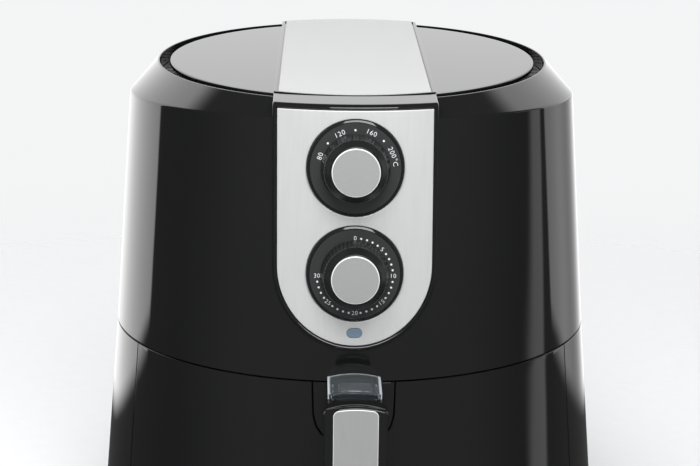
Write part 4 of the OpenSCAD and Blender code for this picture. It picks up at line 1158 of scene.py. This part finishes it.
half_notch = curved(notch_sides)
front_edge = seam_r * front_half_angle
front_outline = [Vector((-front_edge, drawer_bottom)), Vector((front_edge, drawer_bottom))]
front_outline.append(Vector((front_edge, lower_top)))
front_outline += on_arc(half_notch[::-1], 1) + on_arc(half_notch, -1)
front_outline.append(Vector((-front_edge, lower_top)))
drawer_front = slab(
    "drawer_front_moulding", [front_outline], round_front, -front_t, 0.0, edge_high=0.5,
    cuts=[(0, -157.5, 157.5, 3.5)],
)
fitted(drawer_front, gloss_black, "black_gloss", "drawer", "drawer_front")
inner_plastic = finish(
    "inner_plastic", (0.030, 0.030, 0.031), (0.042, 0.042, 0.043), (0.42, 0.58),
    grain=700, relief=0.00001, detail=3,
)
keep(inner_plastic, "drawer_inner_panel", "drawer_switch")

# ---------------------------------------------------------------- pan and basket
# Deep-drawn steel with a dark speckled non-stick coating: the pan catches the fat, and the
# pierced basket stands in it. The brackets, strap and screws are plain steel.

coated_pan = finish(
    "non_stick_coating", (0.030, 0.030, 0.033), (0.042, 0.042, 0.046), (0.32, 0.44),
    grain=260, relief=0.000015,
)
tree, shader, place = nodes_of(coated_pan)
flecks = new_node(tree, "ShaderNodeTexVoronoi", {"Vector": place, "Scale": 1400.0})
fleck = smooth_step(tree, flecks.outputs["Distance"], 0.10, 0.16, 1.0, 0.0)
rare = math_node(tree, "GREATER_THAN", noise(tree, place, 900, detail=1), 0.56)
base = shader.inputs["Base Color"].links[0].from_socket
flecked = new_node(
    tree, "ShaderNodeMix",
    {"Factor": math_node(tree, "MULTIPLY", fleck, rare), 6: base, 7: (0.16, 0.16, 0.165, 1)},
    data_type="RGBA",
)
tree.links.new(flecked.outputs[2], shader.inputs["Base Color"])
keep(coated_pan, "pan", "basket")
keep(shaft_steel, "pan_brackets", "basket_strap")

# ---------------------------------------------------------------- handle
# A gloss black moulding fills the notch and reaches out over the seam to be the rear half of the
# grip; the front half is a second moulding with a raised, crowned cap.

track_z = 150.5
grip_half = 17.5
arm_half = 16.0
grip_bottom = 65.0
cap_top = 157.4
grip_front = -213.3
cap_rear = -197.5
grip_lean = math.radians(5)
crown_r = 57.0
arm_back, arm_end, arm_low = -145.6, -196.0, 124.0
grip_back = -191.5
latch_y, latch_z = -141.0, 139.5


def grip_seam(z):
    """Where the two halves of the grip meet, which leans with the grip."""
    return grip_front + 12.5 + (cap_top - z) * math.tan(grip_lean) * 0.7


def sideways_to(point):
    """From (y, z, x) plan and thickness of a piece drawn from the side."""
    return Vector((point[2], point[0], point[1]))


def side_moulding(name, corners, half, edge, place_at=sideways_to, cuts=()):
    """A moulding twice half wide with rounded edges, drawn from the side as (y, z, size) corners."""
    outline = softened([((y, z), size) for y, z, size in corners], 5)
    return slab(name, [outline], place_at, -half, half, edge, edge, cuts)


filler_gap = 0.6
fill_sides = [(x - filler_gap, z + filler_gap * 0.7) for x, z in notch_sides[:-1]]
half_fill = curved([*fill_sides, (notch_half - filler_gap, lower_top)])
fill_outline = on_arc(half_fill, 1) + on_arc(half_fill[::-1], -1)
filler = slab(
    "filler", [fill_outline], round_front, -front_t, 0.0, edge_high=0.4, cuts=[(0, -24, 24, 3)]
)
arm_corners = [
    (arm_back, lower_top, 0.0), (-149.0, lower_top, 0.0), (-149.0, track_z, 0.0),
    (arm_end, track_z, 0.0),
    (arm_end, arm_low, 0.0), (grip_seam(track_z) + 14, arm_low, 3.0), (-172.0, 130.5, 3.0),
    (-160.0, 130.0, 3.0), (-153.0, 125.0, 2.0), (arm_back, 119.5, 0.0),
]
arm = side_moulding("arm", arm_corners, arm_half, 0.9)
rear_corners = [
    (grip_back, track_z, 0.0), (grip_seam(track_z), track_z, 0.0),
    (grip_seam(grip_bottom), grip_bottom, 0.0), (grip_seam(grip_bottom) + 11, grip_bottom + 1, 4.0),
    (grip_seam(track_z) + 11.5, 116.0, 4.0), (grip_back, 121.0, 2.0),
]
grip_rear = side_moulding("grip_rear", rear_corners, grip_half, 1.6)
combine(filler, [arm, grip_rear], 35, "UNION")
button_y = -166.0
combine(
    filler,
    [
        block("button_well", (-9.3, button_y - 8.3, 140.0), (9.3, button_y + 8.3, 160.0)),
        block("latch_slot", (-4.2, button_y + 2, 133.5), (4.2, button_y + 42, 142.3)),
        block("left_track", (-13.0, -194.5, 147.5), (-11.0, -152.5, 156.5)),
        block("right_track", (11.0, -194.5, 147.5), (13.0, -152.5, 156.5)),
    ],
    35,
)
axle = rod(
    "latch_axle", [(1.2, -8.0), (1.2, 8.0)], lambda p: Vector((p.z, latch_y + p.x, latch_z + p.y)),
    segments=32,
)
cheeks = [block("cheek", (x, -146.6, 134.0), (x + 3, -136.5, 143.5)) for x in (-7.5, 4.5)]
handle_body = joined("handle_body_moulding", [filler, axle, *cheeks], 35)
fitted(handle_body, gloss_black, "black_gloss", "drawer", "handle_body")


def crowned(point):
    """Drawn from the side, with the top bent down towards both sides."""
    p = sideways_to(point)
    part = min(max((p.z - track_z - 1) / 4, 0), 1)
    p.z -= (crown_r - math.sqrt(crown_r**2 - p.x**2)) * part
    return p


cover_corners = [
    (cap_rear, track_z + 0.05, 0.0), (cap_rear, cap_top - 0.8, 1.6), (grip_front + 3, cap_top, 1.5),
    (grip_front, cap_top - 1.0, 1.5),
    (grip_front + (cap_top - grip_bottom) * math.tan(grip_lean), grip_bottom, 3.0),
    (grip_seam(grip_bottom) - 0.05, grip_bottom, 0.0), (grip_seam(track_z) - 0.05, track_z + 0.05, 0.0),
]
handle_cover = side_moulding(
    "handle_cover_moulding", cover_corners, grip_half, 1.2, crowned, [(2, -16, 16, 2)]
)
on_grip_turn = Matrix.Rotation(math.pi / 2 + grip_lean, 3, "X")
on_grip_origin = Vector((0, grip_front, cap_top - 1.8))


def on_grip(point):
    """The frame on the grip's front face: Z out of it, Y up along it."""
    return on_grip_turn @ Vector(point) + on_grip_origin


def grip_plate_outline(grow):
    half = 12.4 + grow
    outline = [Vector((-half + 3, -75 - grow)), Vector((half - 3, -75 - grow)), Vector((half, -72))]
    outline += [Vector((half, -3.6)), Vector((half - 0.7, -2 + grow))]
    arch = [half - 2.2 - i * 2 * (half - 2.2) / 12 for i in range(13)]
    outline += [Vector((x, grow - x * x / 114)) for x in arch]
    outline += [Vector((-half + 0.7, -2 + grow)), Vector((-half, -3.6)), Vector((-half, -72))]
    return outline


combine(
    handle_cover, [slab("plate_pocket", [grip_plate_outline(0.1)], on_grip, -0.8, 4.0, edge_high=0)], 35
)
fitted(handle_cover, gloss_black, "black_gloss", "drawer", "handle_cover")

# A satin aluminium inlay with polished bevelled edges, glued into the grip's front; a lighter
# colour on the bevels paints their highlight.
inlay = slab("grip_inlay", [grip_plate_outline(0.0)], on_grip, -0.75, 0.2, edge_high=0.35)
inlay_metal = satin_metal(
    "inlay_aluminium", (0.42, 0.42, 0.42), (0.47, 0.47, 0.47), (0.34, 0.42), 0.45, (1, 1, 0.03)
)
fitted(inlay, inlay_metal, "cap_metal", "drawer", "handle_plate")
inlay_out = on_grip_turn @ Vector((0, 0, 1))
# The inlay's bevels get the painted highlight.
second_finish(inlay, polished_edge_painted_highlight, lambda middle, normal: 0.15 < normal.dot(inlay_out) < 0.97)

# ---------------------------------------------------------------- button and guard
# A clear crowned cover slides forward on two tongues to free the dark grey release button; the
# button presses a spring and rocks the steel latch.

guard_half = 15.2
guard_front = -181.0
guard_low = 150.8
guard_top = 155.8
guard_crown = 51.0
guard_t = 1.8
guard_back_r = 149.2
clear_ior = 1.46


def crown_over(radius):
    centre = guard_top - guard_crown

    def bent(point):
        p = Vector(point)
        p.z = min(p.z, centre + math.sqrt(radius**2 - p.x**2))
        return p

    return bent


def guard_box(name, half, front, low, high, radius, edge):
    corners = [((-half, front), 1.2), ((half, front), 1.2), ((half, -100.0), 0), ((-half, -100.0), 0)]
    outline = softened(corners, 3)
    return slab(
        name, [outline], crown_over(radius), low, high, edge_high=edge, cuts=[(0, -14, 14, 2)]
    )


guard = guard_box("guard_outside", guard_half, guard_front, guard_low, guard_top, guard_crown, 0.5)
guard_inside = guard_box(
    "guard_inside", guard_half - guard_t, guard_front + guard_t, guard_low - 2, guard_top - guard_t,
    guard_crown - guard_t, 0.3,
)
body_round = rod("body_round", [(guard_back_r, 140.0), (guard_back_r, 165.0)], Vector, segments=256)
combine(guard, [guard_inside, body_round], 35)
tongues = [
    block("tongue", (x - 0.6, guard_front + 6, 148.1), (x + 0.6, guard_front + 18, 152.55))
    for x in (-12, 12)
]
guard = joined("button_guard_cover", [guard, *tongues], 35)
clear = finish(
    "clear_plastic", (0.86, 0.92, 0.95), (0.90, 0.95, 0.97), (0.02, 0.05), grain=120, relief=0.000004,
    Transmission_Weight=0.965, IOR=clear_ior,
)
# A whiter, less clear copy of the clear plastic: painted highlight on the cover's sides and rims.
clear_edge_painted_highlight = finish(
    "clear_plastic_painted_edge_highlight", (0.82, 0.87, 0.92), (0.88, 0.92, 0.96), (0.05, 0.1), grain=120,
    Transmission_Weight=0.55, IOR=clear_ior,
)
fitted(guard, clear, "clear", "guard", "button_guard")


def edge_lit(middle, normal):
    """The side walls and the rims of the cover, where a whiter, less clear colour paints the highlight
    of light running out of the clear plastic.
    """
    front_edge = middle.y < guard_front + 0.45 and 0.2 < normal.z < 0.95
    return abs(middle.x) > guard_half - guard_t - 0.1 or normal.y > 0.7 or front_edge


second_finish(guard, clear_edge_painted_highlight, edge_lit)
# A darker copy of the clear plastic: painted shade on the cover's front wall.
clear_front_painted_shade = finish(
    "clear_plastic_painted_front_shade", (0.16, 0.19, 0.21), (0.20, 0.23, 0.25), (0.04, 0.08), grain=120,
    Transmission_Weight=0.9, IOR=clear_ior,
)


def front_wall(middle, normal):
    """Both sides of the cover's front wall, which is frosted a little and gets a darker tint as painted
    shade.
    """
    return middle.y < guard_front + guard_t + 0.3 and abs(normal.y) > 0.9


second_finish(guard, clear_front_painted_shade, front_wall)

button_outline = softened(
    [(corner, 1.0) for corner in ((-9, -174), (9, -174), (9, -158), (-9, -158))], 3
)
button_top = slab("button_top", [button_outline], Vector, 146.5, 151.8, edge_high=0.7)
button_tongue = block("button_tongue", (-3, -162.8, 142.1), (3, -161.5, 146.6))
button = joined("release_button_moulding", [button_top, button_tongue], 35)
button_grey = finish(
    "button_plastic", (0.035, 0.040, 0.044), (0.045, 0.050, 0.055), (0.3, 0.42),
    grain=1200, relief=0.000008,
)
fitted(button, button_grey, "button_grey", "button", "release_button")
keep(shaft_steel, "button_spring", "latch")

# ---------------------------------------------------------------- back and underside
# A clipped-on gloss cover with louvres closes the rear of the shoulder; the exhaust grille and
# the cord's gland sit below. The base is galvanised sheet with four rubber feet.

keep(gloss_black, "rear_cover")
keep(black_satin, "exhaust_grille")
rubber = finish(
    "foot_rubber", (0.018, 0.018, 0.018), (0.028, 0.028, 0.028), (0.65, 0.8),
    grain=900, relief=0.00002, detail=3,
)
keep(rubber, "cord_gland", "feet")
keep(shaft_steel, "base_screws", "case_screws", "motor_shaft", "element_guard", "heating_chamber")

# Zinc-coated sheet with its spangle: flat crystals that each mirror a little differently.
zinc = finish(
    "galvanised_sheet", (0.40, 0.41, 0.42), (0.52, 0.53, 0.54), (0.3, 0.45), 0.6,
    grain=45, relief=0.000004,
)
tree, shader, place = nodes_of(zinc)
crystals = new_node(tree, "ShaderNodeTexVoronoi", {"Vector": place, "Scale": 170.0})
shine = new_node(tree, "ShaderNodeSeparateColor", {0: crystals.outputs["Color"]}).outputs[0]
tree.links.new(between(tree, shine, 0.26, 0.48, 0.0, 1.0), shader.inputs["Roughness"])
tree.links.new(tint(tree, shine, (0.38, 0.39, 0.40), (0.55, 0.56, 0.57)), shader.inputs["Base Color"])
keep(zinc, "base_plate", "control_bracket", "exhaust_duct", "drawer_housing")
keep(zinc, "motor_plate", "motor_stand", "motor_end_frames")

# ---------------------------------------------------------------- heat and air
# Under the top a motor turns two fans on one shaft: the lower one drives air over the coiled
# element inside a steel chamber wrapped in mineral wool, the upper one cools the motor.

keep(shaft_steel, "drawer_runners")
keep(finish(
    "element_sheath", (0.055, 0.048, 0.042), (0.12, 0.10, 0.088), (0.4, 0.6), 0.7,
    grain=160, relief=0.00002,
), "heating_element")
keep(finish(
    "fan_aluminium", (0.48, 0.49, 0.50), (0.60, 0.61, 0.62), (0.28, 0.42), 1.0,
    grain=220, relief=0.000006,
), "hot_air_fan")
keep(inner_plastic, "cooling_fan")
keep(finish(
    "mineral_wool", (0.42, 0.38, 0.29), (0.66, 0.62, 0.52), (0.9, 1.0),
    grain=350, stretch=(1, 1, 4), relief=0.0004, detail=8,
), "insulation")
laminations = finish(
    "motor_laminations", (0.10, 0.105, 0.11), (0.20, 0.205, 0.21), (0.35, 0.5), 0.9,
    grain=900, stretch=(0.02, 0.02, 1.6), relief=0.00003,
)
keep(laminations, "motor_stator", "motor_rotor")
keep(finish(
    "coil_varnish", (0.20, 0.07, 0.025), (0.36, 0.13, 0.05), (0.25, 0.4),
    grain=700, stretch=(0.05, 1, 1), relief=0.00005,
), "motor_coil")
ceramic = finish(
    "ceramic", (0.66, 0.63, 0.56), (0.76, 0.73, 0.66), (0.35, 0.5), grain=300, relief=0.000008
)
keep(ceramic, "terminal_block", "thermostat", "timer")
keep(finish(
    "copper", (0.62, 0.30, 0.16), (0.76, 0.42, 0.25), (0.22, 0.4), 1.0, grain=180, relief=0.000005,
), "thermostat_bulb")
keep(finish(
    "bell_brass", (0.60, 0.42, 0.16), (0.72, 0.53, 0.24), (0.16, 0.3), 1.0,
    grain=260, stretch=(0.1, 1, 1), relief=0.000004,
), "timer_bell")
